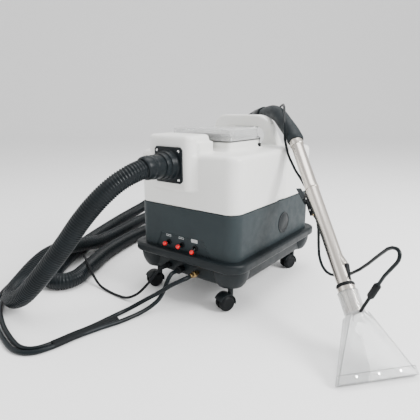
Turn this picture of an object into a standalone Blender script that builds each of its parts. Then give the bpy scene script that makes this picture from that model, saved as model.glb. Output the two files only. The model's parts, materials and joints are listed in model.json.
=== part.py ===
"""Spot extractor: a wheeled suction-and-spray cleaner with its hoses, wand and clear nozzle.

Metres, +Z up. The machine is drawn about the middle of its casing's footprint, with its front
(hose flange and switches) towards -Y. The wand is drawn along its own tube, from the nozzle's
mouth upwards. The last step moves everything so that the origin is on the floor below the
middle of the machine and wand together, cords left out.
"""
from math import cos, pi, radians, sin

import bmesh
import bpy
from mathutils import Matrix, Vector

# ---------------------------------------------------------------- driving dimensions
GAP = 0.0003                      # clearance between pieces that touch

CASING_WIDTH = 0.380
CASING_DEPTH = 0.511
CASING_CORNER = 0.040
CASING_WALL = 0.005
CASING_BOTTOM = 0.157
CASING_TOP = 0.3025

TRAY_OVERHANG = 0.025
TRAY_CORNER = 0.055
TRAY_RIM_TOP = 0.1645
TRAY_RIM_BOTTOM = 0.137
CHASSIS_INSET = 0.005             # tub face inside the casing face
CHASSIS_BOTTOM = 0.082
CHASSIS_FLOOR = 0.008

TANK_INSET = 0.001
TANK_TOP = 0.470
TANK_SHOULDER = 0.016
TANK_WALL = 0.005
NECK_LOW = Vector((-0.135, -0.162))
NECK_HIGH = Vector((0.105, 0.026))
NECK_TOP = 0.4985
NECK_CORNER = 0.012
LID_TOP = 0.538
LID_WALL = 0.003
LID_LIP = 0.006
GASKET_THICK = 0.0025

BOSS_LEFT = -0.120
BOSS_RIGHT = 0.055
BOSS_FRONT = -0.280
BOSS_BACK = -0.175
BOSS_BOTTOM = 0.356
BOSS_TOP = 0.522
BOSS_CHAMFER = 0.026

HANDLE_LEFT = -0.150
HANDLE_RIGHT = 0.126
HANDLE_TOP = 0.574
HANDLE_BAR = 0.040
HANDLE_DEPTH = 0.040
HANDLE_Y = 0.130

HOSE_RADIUS = 0.028
SPIGOT_X = -0.030
SPIGOT_Z = 0.4355
PLATE_SIZE = 0.106
PLATE_THICK = 0.005
SPIGOT_LENGTH = 0.062
SCREW_INSET = 0.0115

SWITCH_XS = (-0.0628, -0.0086, 0.0445)
SWITCH_Z = 0.183
BEZEL_RADIUS = 0.0095
PANEL_DEPTH = 0.003
LEVER_LENGTH = 0.0135
CAP_RADIUS = 0.0072
SWITCH_DROOPS = (2.0, 2.0, 22.0)   # degrees below level

VENT_Y = 0.0415
VENT_Z = 0.223
VENT_RADIUS = 0.036

CASTER_X = 0.148
CASTER_Y = 0.212
CASTER_TRAIL = 0.020
CASTER_YAW = radians(158.0)
WHEEL_RADIUS = 0.025
WHEEL_WIDTH = 0.0125
WHEEL_SPACING = 0.0135            # between the two discs' inner faces
STEM_RADIUS = 0.005

MOTOR_X = 0.075
MOTOR_Y = -0.115
MOTOR_RADIUS = 0.062
DUCT_RADIUS = 0.021
PIPE_TOP = 0.425
FLOAT_SEAT = 0.376                # the float ring rests here and rises to shut the cap's windows
FLOAT_HEIGHT = 0.030
FLOAT_TRAVEL = 0.055
PUMP_X = -0.055
PUMP_Y = 0.115

FITTING_Z = 0.104
GLAND_X = -0.066
FEED_X = -0.010
BRASS_X = 0.050

WAND_FOOT = Vector((0.609, -0.304, 0.0))
WAND_RISE = Vector((-0.546, 0.487, 0.683)).normalized()
TUBE_RADIUS = 0.019
TUBE_WALL = 0.0015
TUBE_SWAGE = 0.0008               # how far the swaged joint stands out of the tube
TUBE_START = 0.168                # distances along the wand from the nozzle's mouth
TUBE_JOINT = 0.530
TUBE_END = 0.728
NOZZLE_WIDTH = 0.204
NOZZLE_MOUTH = 0.014
NOZZLE_WALL = 0.003
NOZZLE_NECK = 0.150
SOCKET_RADIUS = 0.0225
SOCKET_END = 0.222
COLLAR_THICK = 0.0022
GRIP_RADIUS = 0.0255
GRIP_ROUTE = ((-0.009, -0.008), (0.0, 0.0), (0.030, 0.018), (0.085, 0.043), (0.147, 0.070),
              (0.200, 0.079), (0.246, 0.077), (0.300, 0.070))   # level and up from the tube's top
CUFF_RADIUS = 0.031
CUFF_LENGTH = 0.085
VALVE_AT = 0.505
TRIGGER_REST = radians(-16)

SOLUTION_RADIUS = 0.0065
MAINS_RADIUS = 0.0043
WAND_HOSE_RADIUS = 0.0042
COIL_TURN_RADIUS = 0.052          # mains lead coil, middle of its turns
COIL_CENTRE = Vector((-0.63, 0.40, 0.0))
COIL_HEIGHT = 0.036
COIL_BAND = 0.030
PLUG_WIDTH = 0.026
PLUG_HEIGHT = 0.020
PLUG_LENGTH = 0.036
RELIEF_LENGTH = 0.018
PRONG_LENGTH = 0.017

# ---------------------------------------------------------------- finishes
FINISHES = {                      # colour, roughness, metallic
    "white_shell": ((0.78, 0.78, 0.75), 0.42, 0.0),
    "dark_shell": ((0.035, 0.046, 0.05), 0.48, 0.0),
    "tray_shell": ((0.018, 0.023, 0.026), 0.42, 0.0),
    "clear_acrylic": ((0.86, 0.88, 0.88), 0.12, 0.0),
    "black_rubber": ((0.012, 0.014, 0.016), 0.6, 0.0),
    "hose_plastic": ((0.014, 0.02, 0.024), 0.4, 0.0),
    "steel": ((0.55, 0.52, 0.48), 0.28, 1.0),
    "bright_metal": ((0.75, 0.75, 0.75), 0.18, 1.0),
    "brass": ((0.55, 0.38, 0.18), 0.3, 1.0),
    "red_plastic": ((0.65, 0.02, 0.02), 0.35, 0.0),
    "grip_plastic": ((0.03, 0.038, 0.042), 0.5, 0.0),
    "natural_plastic": ((0.6, 0.6, 0.56), 0.5, 0.0),
}


def finish_material(finish):
    """One Principled material for each finish, made when it is first asked for."""
    material = bpy.data.materials.get(finish)
    if material is None:
        colour, roughness, metallic = FINISHES[finish]
        material = bpy.data.materials.new(finish)
        material.use_nodes = True
        shader = material.node_tree.nodes["Principled BSDF"]
        shader.inputs["Base Color"].default_value = (*colour, 1.0)
        shader.inputs["Roughness"].default_value = roughness
        shader.inputs["Metallic"].default_value = metallic
        material.diffuse_color = (*colour, 1.0)
    return material


# ---------------------------------------------------------------- scene and helpers
for old in list(bpy.data.objects):
    bpy.data.objects.remove(old)

PARTS = bpy.data.collections.new("spot_extractor")
CUTTERS = bpy.data.collections.new("cutters")
bpy.context.scene.collection.children.link(PARTS)
bpy.context.scene.collection.children.link(CUTTERS)


def empty(name, location=(0.0, 0.0, 0.0), parent=None, turn=None):
    """A parent that carries a group of pieces."""
    carrier = bpy.data.objects.new(name, None)
    carrier.location = location
    if turn is not None:
        carrier.rotation_euler = turn.to_euler()
    carrier.parent = parent
    PARTS.objects.link(carrier)
    return carrier


FLOOR = empty("floor_origin")


def add(name, data, finish, location=(0.0, 0.0, 0.0), turn=None, parent=None):
    """Put mesh or curve data in the scene as a named piece, or as a cutter with no finish."""
    piece = bpy.data.objects.new(name, data)
    piece.location = location
    if turn is not None:
        piece.rotation_euler = turn.to_euler()
    piece.parent = parent or FLOOR
    if finish is None:
        CUTTERS.objects.link(piece)
        piece.hide_render = True
        piece.display_type = "WIRE"
    else:
        PARTS.objects.link(piece)
        data.materials.append(finish_material(finish))
    return piece


def mesh_from(bm, name, sharp=40.0):
    """Turn a bmesh into mesh data with smooth faces and sharp corners."""
    bmesh.ops.recalc_face_normals(bm, faces=bm.faces)
    data = bpy.data.meshes.new(name)
    bm.to_mesh(data)
    bm.free()
    data.shade_smooth()
    data.set_sharp_from_angle(angle=radians(sharp))
    return data


def rim_edges(bm, height):
    """The edges that lie flat at a height."""
    return [e for e in bm.edges if all(abs(v.co.z - height) < 1e-6 for v in e.verts)]


def block(name, low, high, finish, corner=0.0, top=0.0, bottom=0.0, steps=4, parent=None):
    """A box between two corners, its upright edges rounded by corner, its rims by top and bottom."""
    low, high = Vector(low), Vector(high)
    size = high - low
    bm = bmesh.new()
    bmesh.ops.create_cube(bm, size=1.0)
    bmesh.ops.scale(bm, vec=size, verts=bm.verts)
    if corner:
        upright = [e for e in bm.edges if abs(e.verts[0].co.z - e.verts[1].co.z) > size.z / 2]
        bmesh.ops.bevel(bm, geom=upright, offset=corner, segments=steps, profile=0.5,
                        affect="EDGES", clamp_overlap=True)
    for height, radius in ((size.z / 2, top), (-size.z / 2, bottom)):
        if radius:
            bmesh.ops.bevel(bm, geom=rim_edges(bm, height), offset=radius, segments=2, profile=0.5,
                            affect="EDGES", clamp_overlap=True)
    return add(name, mesh_from(bm, name), finish, (low + high) / 2, parent=parent)


def turned(name, profile, finish, location=(0.0, 0.0, 0.0), turn=None, steps=24, parent=None):
    """A turned piece about its own Z. The profile runs down the outside; a ring's comes back up."""
    bm = bmesh.new()
    points = [bm.verts.new((radius, 0.0, height)) for radius, height in profile]
    for start, end in zip(points, points[1:]):
        bm.edges.new((start, end))
    if profile[0][0] > 0.0:
        bm.edges.new((points[-1], points[0]))
    data = bpy.data.meshes.new(name)
    bm.to_mesh(data)
    bm.free()
    piece = add(name, data, finish, location, turn, parent)
    screw = piece.modifiers.new("turn", "SCREW")
    screw.steps = steps
    screw.render_steps = steps
    screw.use_merge_vertices = True
    screw.merge_threshold = 0.00005
    screw.use_smooth_shade = True
    return piece


def cut(piece, cutter, operation="DIFFERENCE"):
    """Cut, join or trim a piece with another, which becomes a hidden cutter."""
    boolean = piece.modifiers.new(operation.lower(), "BOOLEAN")
    boolean.operation = operation
    boolean.solver = "EXACT"
    boolean.object = cutter
    return piece


def join(piece, other):
    """Make a piece and a cutter one body."""
    return cut(piece, other, "UNION")


def outline(name, loops, thickness, finish, location, turn, parent=None):
    """A flat plate from closed loops of points, the later loops being holes."""
    curve = bpy.data.curves.new(name, "CURVE")
    curve.dimensions = "2D"
    curve.fill_mode = "BOTH"
    curve.extrude = thickness / 2
    for loop in loops:
        spline = curve.splines.new("POLY")
        spline.points.add(len(loop) - 1)
        for point, (x, y) in zip(spline.points, loop):
            point.co = (x, y, 0.0, 1.0)
        spline.use_cyclic_u = True
    shape = add(name + "_outline", curve, None, location, turn, parent)
    return as_mesh(shape, name, finish)


def as_mesh(shape, name, finish):
    """Replace a curve with a closed mesh, so that it can be cut or joined."""
    bpy.context.view_layer.update()
    graph = bpy.context.evaluated_depsgraph_get()
    data = bpy.data.meshes.new_from_object(shape.evaluated_get(graph))
    bm = bmesh.new()
    bm.from_mesh(data)
    bpy.data.meshes.remove(data)
    bmesh.ops.remove_doubles(bm, verts=bm.verts, dist=0.00001)
    piece = add(name, mesh_from(bm, name), finish, shape.location, parent=shape.parent)
    piece.rotation_euler = shape.rotation_euler
    bpy.data.objects.remove(shape)
    return piece


def arc(centre_x, centre_y, radius, start, end, count):
    """Points along a round stretch of an outline, angles in degrees."""
    angles = [radians(start + (end - start) * i / count) for i in range(count + 1)]
    return [(centre_x + radius * cos(a), centre_y + radius * sin(a)) for a in angles]


def smooth_route(points, longest, sharpest=radians(15)):
    """Points on a smooth curve through a route's hand-chosen points, close together in its bends."""
    route = [Vector(p) for p in points]
    ends = [route[0] * 2 - route[1]] + route + [route[-1] * 2 - route[-2]]
    fine = []
    for a, b, c, d in zip(ends, ends[1:], ends[2:], ends[3:]):
        for i in range(12):
            t = i / 12
            fine.append(0.5 * (2 * b + (c - a) * t + (2 * a - 5 * b + 4 * c - d) * t * t
                               + (3 * b - a - 3 * c + d) * t ** 3))
    fine.append(route[-1])
    samples = [fine[0], fine[1]]
    heading = fine[1] - fine[0]
    for place, following in zip(fine[3:-4], fine[4:]):
        step = following - place
        if (place - samples[-1]).length > longest or step.angle(heading) > sharpest:
            samples.append(place)
            heading = step
    return samples + [fine[-2], fine[-1]]


def tube(name, points, radius, finish, resolution=2, parent=None):
    """A round tube along points, with closed ends."""
    curve = bpy.data.curves.new(name, "CURVE")
    curve.dimensions = "3D"
    curve.bevel_depth = radius
    curve.bevel_resolution = resolution
    curve.use_fill_caps = True
    spline = curve.splines.new("POLY")
    spline.points.add(len(points) - 1)
    for point, place in zip(spline.points, points):
        point.co = (*place, 1.0)
    return add(name, curve, finish, parent=parent)


def facing(direction):
    """The turn that points a piece's own +Z along a direction."""
    return Vector(direction).to_track_quat("Z", "Y")


FORWARD = facing((0, -1, 0))      # pieces that stand out of the machine's front
SIDEWAYS = facing((1, 0, 0))
HALF_WIDTH = CASING_WIDTH / 2
HALF_DEPTH = CASING_DEPTH / 2
FRONT = -HALF_DEPTH
CHASSIS_FRONT = FRONT + CHASSIS_INSET
FLOOR_TOP = CHASSIS_BOTTOM + CHASSIS_FLOOR


def centred(half_x, half_y, low_z, high_z):
    """The two corners of a box about the machine's middle."""
    return (-half_x, -half_y, low_z), (half_x, half_y, high_z)


# ---------------------------------------------------------------- chassis tray
def chassis_tray():
    """The tray: a rim round the casing, a tub below it and a bulged pad over each caster."""
    rim = centred(HALF_WIDTH + TRAY_OVERHANG, HALF_DEPTH + TRAY_OVERHANG, TRAY_RIM_BOTTOM, TRAY_RIM_TOP)
    tray = block("chassis_tray", *rim, "tray_shell", TRAY_CORNER, top=0.007, bottom=0.007, steps=5)
    half_x, half_y = HALF_WIDTH - CHASSIS_INSET, HALF_DEPTH - CHASSIS_INSET
    tub = centred(half_x, half_y, CHASSIS_BOTTOM, TRAY_RIM_BOTTOM + 0.004)
    join(tray, block("tub", *tub, None, CASING_CORNER, bottom=0.012, steps=4))
    pad_profile = [(0, TRAY_RIM_BOTTOM + 0.003), (0.058, TRAY_RIM_BOTTOM + 0.003), (0.056, 0.118),
                   (0.046, CHASSIS_BOTTOM + 0.007), (0.034, CHASSIS_BOTTOM - 0.003),
                   (0, CHASSIS_BOTTOM - 0.003)]
    for sx in (-1, 1):
        for sy in (-1, 1):
            join(tray, turned("pad", pad_profile, None, (sx * CASTER_X, sy * CASTER_Y, 0), steps=16))
    inside = centred(half_x - 0.008, half_y - 0.008, FLOOR_TOP, CASING_TOP)
    cut(tray, block("tub_inside", *inside, None, CASING_CORNER - 0.008, steps=4))
    seat = centred(HALF_WIDTH + GAP, HALF_DEPTH + GAP, CASING_BOTTOM - GAP, CASING_TOP)
    cut(tray, block("casing_seat", *seat, None, CASING_CORNER + GAP, steps=4))
    for sx in (-1, 1):
        for sy in (-1, 1):
            hole = [(0, FLOOR_TOP + 0.001), (STEM_RADIUS + GAP, FLOOR_TOP + 0.001),
                    (STEM_RADIUS + GAP, CHASSIS_BOTTOM - 0.01), (0, CHASSIS_BOTTOM - 0.01)]
            cut(tray, turned("stem_hole", hole, None, (sx * CASTER_X, sy * CASTER_Y, 0), steps=12))
    for i in range(5):
        y = MOTOR_Y - 0.03 + i * 0.015
        cut(tray, block("exhaust_slot", (MOTOR_X - 0.03, y, CHASSIS_BOTTOM - 0.01),
                        (MOTOR_X + 0.03, y + 0.006, FLOOR_TOP + 0.001), None))
    return tray


# ---------------------------------------------------------------- motor casing
def switch_panel():
    """The recess round the switches: a slope-sided shape, let into the front of the casing."""
    corners = [(-0.094, 0.212), (-0.122, CASING_BOTTOM - 0.005), (0.112, CASING_BOTTOM - 0.005),
               (0.076, 0.212)]
    place = (0, FRONT + PANEL_DEPTH / 2 - 0.001, 0)
    upright = Matrix.Rotation(pi / 2, 4, "X")
    return outline("switch_recess", [corners], PANEL_DEPTH + 0.002, None, place, upright)


def motor_casing():
    """The dark cover over the motor and pump: open below, with a deck that the tank stands on."""
    shell = centred(HALF_WIDTH, HALF_DEPTH, CASING_BOTTOM, CASING_TOP)
    casing = block("motor_casing", *shell, "dark_shell", CASING_CORNER)
    inside = centred(HALF_WIDTH - CASING_WALL, HALF_DEPTH - CASING_WALL,
                     CASING_BOTTOM - 0.01, CASING_TOP - CASING_WALL)
    cut(casing, block("casing_inside", *inside, None, CASING_CORNER - CASING_WALL))
    cut(casing, switch_panel())
    duct = [(0, CASING_TOP + 0.01), (DUCT_RADIUS + GAP, CASING_TOP + 0.01),
            (DUCT_RADIUS + GAP, CASING_TOP - 0.02), (0, CASING_TOP - 0.02)]
    cut(casing, turned("duct_hole", duct, None, (MOTOR_X, MOTOR_Y, 0), steps=20))
    vent = [(0, 0.01), (VENT_RADIUS - 0.003 + GAP, 0.01), (VENT_RADIUS - 0.003 + GAP, -0.01), (0, -0.01)]
    cut(casing, turned("vent_hole", vent, None, (HALF_WIDTH, VENT_Y, VENT_Z), SIDEWAYS))
    bush = [(0, 0.006), (0.006 + GAP, 0.006), (0.006 + GAP, -0.012), (0, -0.012)]
    for x in SWITCH_XS:
        cut(casing, turned("bush_hole", bush, None, (x, FRONT, SWITCH_Z), FORWARD, steps=12))
    return casing


def vent_cap():
    """The round plug in the casing's right side."""
    profile = [(0, 0.002), (VENT_RADIUS - 0.008, 0.002), (VENT_RADIUS - 0.006, 0.0008),
               (VENT_RADIUS - 0.003, 0.0008), (VENT_RADIUS - 0.002, 0.002), (VENT_RADIUS, 0.002),
               (VENT_RADIUS, GAP), (VENT_RADIUS - 0.003, GAP), (VENT_RADIUS - 0.003, -0.008), (0, -0.008)]
    return turned("vent_cap", profile, "tray_shell", (HALF_WIDTH, VENT_Y, VENT_Z), SIDEWAYS, steps=32)


def switches():
    """Three toggle switches: a bush through the panel, a bat lever on its pivot, a red cap."""
    face = PANEL_DEPTH
    for number, (x, fall) in enumerate(zip(SWITCH_XS, SWITCH_DROOPS), start=1):
        bush = [(BEZEL_RADIUS - 0.003, 0.0045 - face), (BEZEL_RADIUS - 0.001, 0.004 - face),
                (BEZEL_RADIUS, 0.0025 - face), (BEZEL_RADIUS, GAP - face), (0.006, GAP - face),
                (0.006, -0.022), (0.0045, -0.022)]
        turned(f"switch_bezel_{number}", bush, "black_rubber", (x, FRONT, SWITCH_Z), FORWARD, steps=16)
        pivot = (x, FRONT + 0.004, SWITCH_Z)
        droop = facing((0, -cos(radians(fall)), -sin(radians(fall))))
        lever = [(0, LEVER_LENGTH), (0.0016, LEVER_LENGTH), (0.0013, 0.006), (0.0026, 0.0015),
                 (0.0026, -0.0015), (0, -0.0026)]
        turned(f"switch_lever_{number}", lever, "bright_metal", pivot, droop, steps=10)
        reach = LEVER_LENGTH + GAP + CAP_RADIUS
        ball = [(CAP_RADIUS * sin(radians(a)), reach + CAP_RADIUS * cos(radians(a)))
                for a in range(0, 181, 30)]
        ball[0] = (0, reach + CAP_RADIUS)
        ball[-1] = (0, reach - CAP_RADIUS)
        turned(f"switch_cap_{number}", ball, "red_plastic", pivot, droop, steps=12)


# ---------------------------------------------------------------- tank
def handle_loops():
    """The carrying handle seen from the front: an arch with a finger opening."""
    foot = TANK_TOP - 0.008
    outer = [(HANDLE_LEFT, foot)]
    outer += arc(HANDLE_LEFT + 0.048, HANDLE_TOP - 0.048, 0.048, 180, 90, 5)
    outer += arc(HANDLE_RIGHT - 0.098, HANDLE_TOP - 0.070, 0.070, 90, 35, 5)
    outer += [(HANDLE_RIGHT, foot)]
    low = TANK_TOP + 0.002
    inner_top = HANDLE_TOP - HANDLE_BAR
    left = HANDLE_LEFT + HANDLE_BAR + 0.012
    right = HANDLE_RIGHT - HANDLE_BAR - 0.022
    inner = arc(left + 0.022, inner_top - 0.022, 0.022, 180, 90, 4)
    inner += arc(right - 0.034, inner_top - 0.034, 0.034, 90, -10, 5)
    inner += arc(right - 0.022, low + 0.012, 0.012, -20, -90, 3)
    inner += arc(left + 0.010, low + 0.010, 0.010, 270, 180, 3)
    return [outer, inner]


def tank_body():
    """The moulded tank: body, hose boss, filling neck and handle in one hollow shell."""
    half_x, half_y = HALF_WIDTH - TANK_INSET, HALF_DEPTH - TANK_INSET
    bottom = CASING_TOP + GAP
    tank = block("tank_body", *centred(half_x, half_y, bottom, TANK_TOP), "white_shell",
                 CASING_CORNER, top=TANK_SHOULDER)
    join(tank, block("boss", (BOSS_LEFT, BOSS_FRONT, BOSS_BOTTOM), (BOSS_RIGHT, BOSS_BACK, BOSS_TOP),
                     None, BOSS_CHAMFER, top=0.010, bottom=0.008, steps=3))
    neck_low = (NECK_LOW.x, NECK_LOW.y, TANK_TOP - 0.006)
    neck_high = (NECK_HIGH.x, NECK_HIGH.y, NECK_TOP)
    join(tank, block("neck", neck_low, neck_high, None, NECK_CORNER, steps=3))
    upright = Matrix.Rotation(pi / 2, 4, "X")
    join(tank, outline("handle", handle_loops(), HANDLE_DEPTH, None, (0, HANDLE_Y, 0), upright))
    wall = TANK_WALL
    cut(tank, block("tank_inside", *centred(half_x - wall, half_y - wall, bottom + wall, TANK_TOP - wall),
                    None, CASING_CORNER - wall, top=TANK_SHOULDER - wall))
    cut(tank, block("boss_inside", (BOSS_LEFT + wall, BOSS_FRONT + wall, BOSS_BOTTOM + wall),
                    (BOSS_RIGHT - wall, BOSS_BACK + 0.02, BOSS_TOP - wall), None, BOSS_CHAMFER - wall,
                    steps=3))
    mouth_low = (NECK_LOW.x + wall, NECK_LOW.y + wall, TANK_TOP - 0.02)
    mouth_high = (NECK_HIGH.x - wall, NECK_HIGH.y - wall, NECK_TOP + 0.01)
    cut(tank, block("neck_inside", mouth_low, mouth_high, None, NECK_CORNER - wall, steps=3))
    port = [(0, 0.02), (0.031, 0.02), (0.031, -0.02), (0, -0.02)]
    cut(tank, turned("port", port, None, (SPIGOT_X, BOSS_FRONT, SPIGOT_Z), FORWARD, steps=20))
    duct = [(0, bottom + 0.02), (DUCT_RADIUS + GAP, bottom + 0.02),
            (DUCT_RADIUS + GAP, bottom - 0.02), (0, bottom - 0.02)]
    cut(tank, turned("duct_hole", duct, None, (MOTOR_X, MOTOR_Y, 0), steps=20))
    groove_low = (half_x - 0.003, -0.004, bottom - 0.01)
    cut(tank, block("side_channel", groove_low, (half_x + 0.02, 0.046, TANK_TOP + 0.01), None,
                    0.002, steps=2))
    return tank


def tank_fittings():
    """What is inside the tank: the wall between its chambers, the air standpipe, its cap and float."""
    half_x = HALF_WIDTH - TANK_INSET - TANK_WALL - GAP
    low = CASING_TOP + GAP + TANK_WALL + GAP
    block("tank_divider", (-half_x, -0.035, low), (half_x, -0.031, TANK_TOP - TANK_WALL - 0.012),
          "natural_plastic")
    place = (MOTOR_X, MOTOR_Y, 0)
    deck = CASING_TOP - CASING_WALL
    inner = DUCT_RADIUS - 0.002
    pipe = [(DUCT_RADIUS, PIPE_TOP), (DUCT_RADIUS, FLOAT_SEAT), (0.030, FLOAT_SEAT),
            (0.030, FLOAT_SEAT - 0.004), (DUCT_RADIUS, FLOAT_SEAT - 0.004), (DUCT_RADIUS, deck),
            (inner, deck), (inner, PIPE_TOP)]
    turned("standpipe", pipe, "natural_plastic", place, steps=20)
    bore = DUCT_RADIUS + GAP
    sleeve = bore + 0.0023
    foot = PIPE_TOP - 0.015
    under_cap = FLOAT_SEAT + FLOAT_HEIGHT + FLOAT_TRAVEL + GAP
    profile = [(0, under_cap + 0.003), (0.036, under_cap + 0.003), (0.036, under_cap), (sleeve, under_cap),
               (sleeve, foot), (0, foot)]
    cap = turned("float_cap", profile, "natural_plastic", place, steps=20)
    hollow = [(0, under_cap), (bore, under_cap), (bore, foot - 0.01), (0, foot - 0.01)]
    cut(cap, turned("cap_hollow", hollow, None, place, steps=20))
    for quarter in range(2):
        window = block("cap_window", (-0.03, -0.009, PIPE_TOP + 0.007), (0.03, 0.009, under_cap - 0.006), None)
        window.location += Vector(place)
        window.rotation_euler.z = (quarter + 0.5) * pi / 2
        cut(cap, window)
    ring = [(0.036, FLOAT_HEIGHT), (0.036, 0), (sleeve + 2 * GAP, 0), (sleeve + 2 * GAP, FLOAT_HEIGHT)]
    turned("float_ring", ring, "red_plastic", (MOTOR_X, MOTOR_Y, FLOAT_SEAT + GAP), steps=20)


# ---------------------------------------------------------------- lid
def lid_set():
    """The clear lid on its gasket, hinged at the back of the neck, with a lint basket below it."""
    wall = TANK_WALL
    gasket_low = (NECK_LOW.x, NECK_LOW.y, NECK_TOP + GAP)
    gasket_high = (NECK_HIGH.x, NECK_HIGH.y, NECK_TOP + GAP + GASKET_THICK)
    gasket = block("lid_gasket", gasket_low, gasket_high, "black_rubber", NECK_CORNER, steps=3)
    cut(gasket, block("gasket_inside", (NECK_LOW.x + wall, NECK_LOW.y + wall, NECK_TOP - 0.01),
                      (NECK_HIGH.x - wall, NECK_HIGH.y - wall, NECK_TOP + 0.01), None,
                      NECK_CORNER - wall, steps=3))
    base = NECK_TOP + 2 * GAP + GASKET_THICK
    hinge_y = NECK_HIGH.y + 0.009
    hinge_z = base + 0.0035
    hinge = Vector((0.0, hinge_y, hinge_z))
    lip = block("lid", Vector((NECK_LOW.x - 0.002, NECK_LOW.y - 0.002, base)) - hinge,
                Vector((NECK_HIGH.x + 0.002, NECK_HIGH.y + 0.002, base + LID_LIP)) - hinge,
                "clear_acrylic", NECK_CORNER, steps=3)
    shift_origin(lip, hinge)
    dome_low = Vector((NECK_LOW.x + 0.006, NECK_LOW.y + 0.006, base + 0.002))
    dome_high = Vector((NECK_HIGH.x - 0.006, NECK_HIGH.y - 0.006, LID_TOP))
    join(lip, block("dome", dome_low, dome_high, None, NECK_CORNER, top=0.008, steps=3))
    hollow = Vector((LID_WALL, LID_WALL, 0))
    cut(lip, block("dome_inside", dome_low + hollow - Vector((0, 0, 0.02)),
                   dome_high - hollow - Vector((0, 0, LID_WALL)), None, NECK_CORNER - LID_WALL,
                   top=0.006, steps=3))
    knuckle = block("knuckle", (-0.070, NECK_HIGH.y - 0.002, base), (0.045, hinge_y + 0.006, base + 0.007),
                    None)
    join(lip, knuckle)
    pin_hole = [(0, 0.09), (0.0023 + GAP, 0.09), (0.0023 + GAP, -0.09), (0, -0.09)]
    cut(lip, turned("pin_hole", pin_hole, None, (-0.0125, hinge_y, hinge_z), SIDEWAYS, steps=12))
    pin = [(0, 0.075), (0.0023, 0.075), (0.0023, -0.075), (0, -0.075)]
    bracket = turned("lid_hinge_pin", pin, "black_rubber", (-0.0125, hinge_y, hinge_z),
                     SIDEWAYS, steps=12)
    for x in (-0.080, 0.052):
        join(bracket, block("ear", (x, hinge_y - 0.0035, TANK_TOP + GAP), (x + 0.006, hinge_y + 0.005,
                            base + 0.0075), None))
    rim_z = base + 0.012
    basket_low = (NECK_LOW.x + 0.016, NECK_LOW.y + 0.016, NECK_TOP - 0.060)
    basket_high = (-0.005, -0.045, rim_z)
    basket = block("lint_basket", basket_low, basket_high, "bright_metal", 0.008, bottom=0.004, steps=3)
    cut(basket, block("basket_inside", Vector(basket_low) + Vector((0.0015, 0.0015, 0.0015)),
                      Vector(basket_high) + Vector((-0.0015, -0.0015, 0.02)), None, 0.0065, steps=3))
    return lip


def shift_origin(piece, place):
    """Move a piece's own origin to a place, such as a joint's axis, with its shape left as it is."""
    offset = piece.location.copy()
    piece.data.transform(Matrix.Translation(offset))
    piece.location = place


# ---------------------------------------------------------------- hose flange
def hose_flange():
    """The square plate and stepped spigot that the vacuum hose is pushed onto."""
    half = PLATE_SIZE / 2
    chamfer = 0.008
    corners = []
    for sx, sy in ((1, 1), (-1, 1), (-1, -1), (1, -1)):
        first = (sx * half, sy * (half - chamfer))
        second = (sx * (half - chamfer), sy * half)
        corners += [first, second] if sx * sy > 0 else [second, first]
    y = BOSS_FRONT - GAP - PLATE_THICK / 2
    upright = Matrix.Rotation(pi / 2, 4, "X")
    plate = outline("hose_flange", [corners], PLATE_THICK, "hose_plastic", (SPIGOT_X, y, SPIGOT_Z), upright)
    steps = [(0.0415, 0.004), (0.0415, 0.022), (0.0375, 0.024), (0.0375, 0.040), (0.0335, 0.042)]
    bore = HOSE_RADIUS - 0.006
    profile = [(bore, SPIGOT_LENGTH), (0.0335, SPIGOT_LENGTH)]
    profile += [(r, h) for r, h in reversed(steps)]
    profile += [(0.0415, -PLATE_THICK / 2 + 0.001), (bore, -PLATE_THICK / 2 + 0.001)]
    join(plate, turned("spigot", profile, None, (SPIGOT_X, y, SPIGOT_Z), FORWARD, steps=28))
    hole = [(0, SPIGOT_LENGTH + 0.01), (bore, SPIGOT_LENGTH + 0.01), (bore, -0.01), (0, -0.01)]
    cut(plate, turned("bore", hole, None, (SPIGOT_X, y, SPIGOT_Z), FORWARD, steps=28))
    reach = half - SCREW_INSET
    head = [(0, 0.0026), (0.0030, 0.0022), (0.0042, 0.0006), (0.0042, 0), (0, 0)]
    number = 1
    for sx in (-1, 1):
        for sz in (-1, 1):
            place = (SPIGOT_X + sx * reach, y - PLATE_THICK / 2 - GAP, SPIGOT_Z + sz * reach)
            turned(f"flange_screw_{number}", head, "bright_metal", place, FORWARD, steps=12)
            number += 1
    return plate


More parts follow.
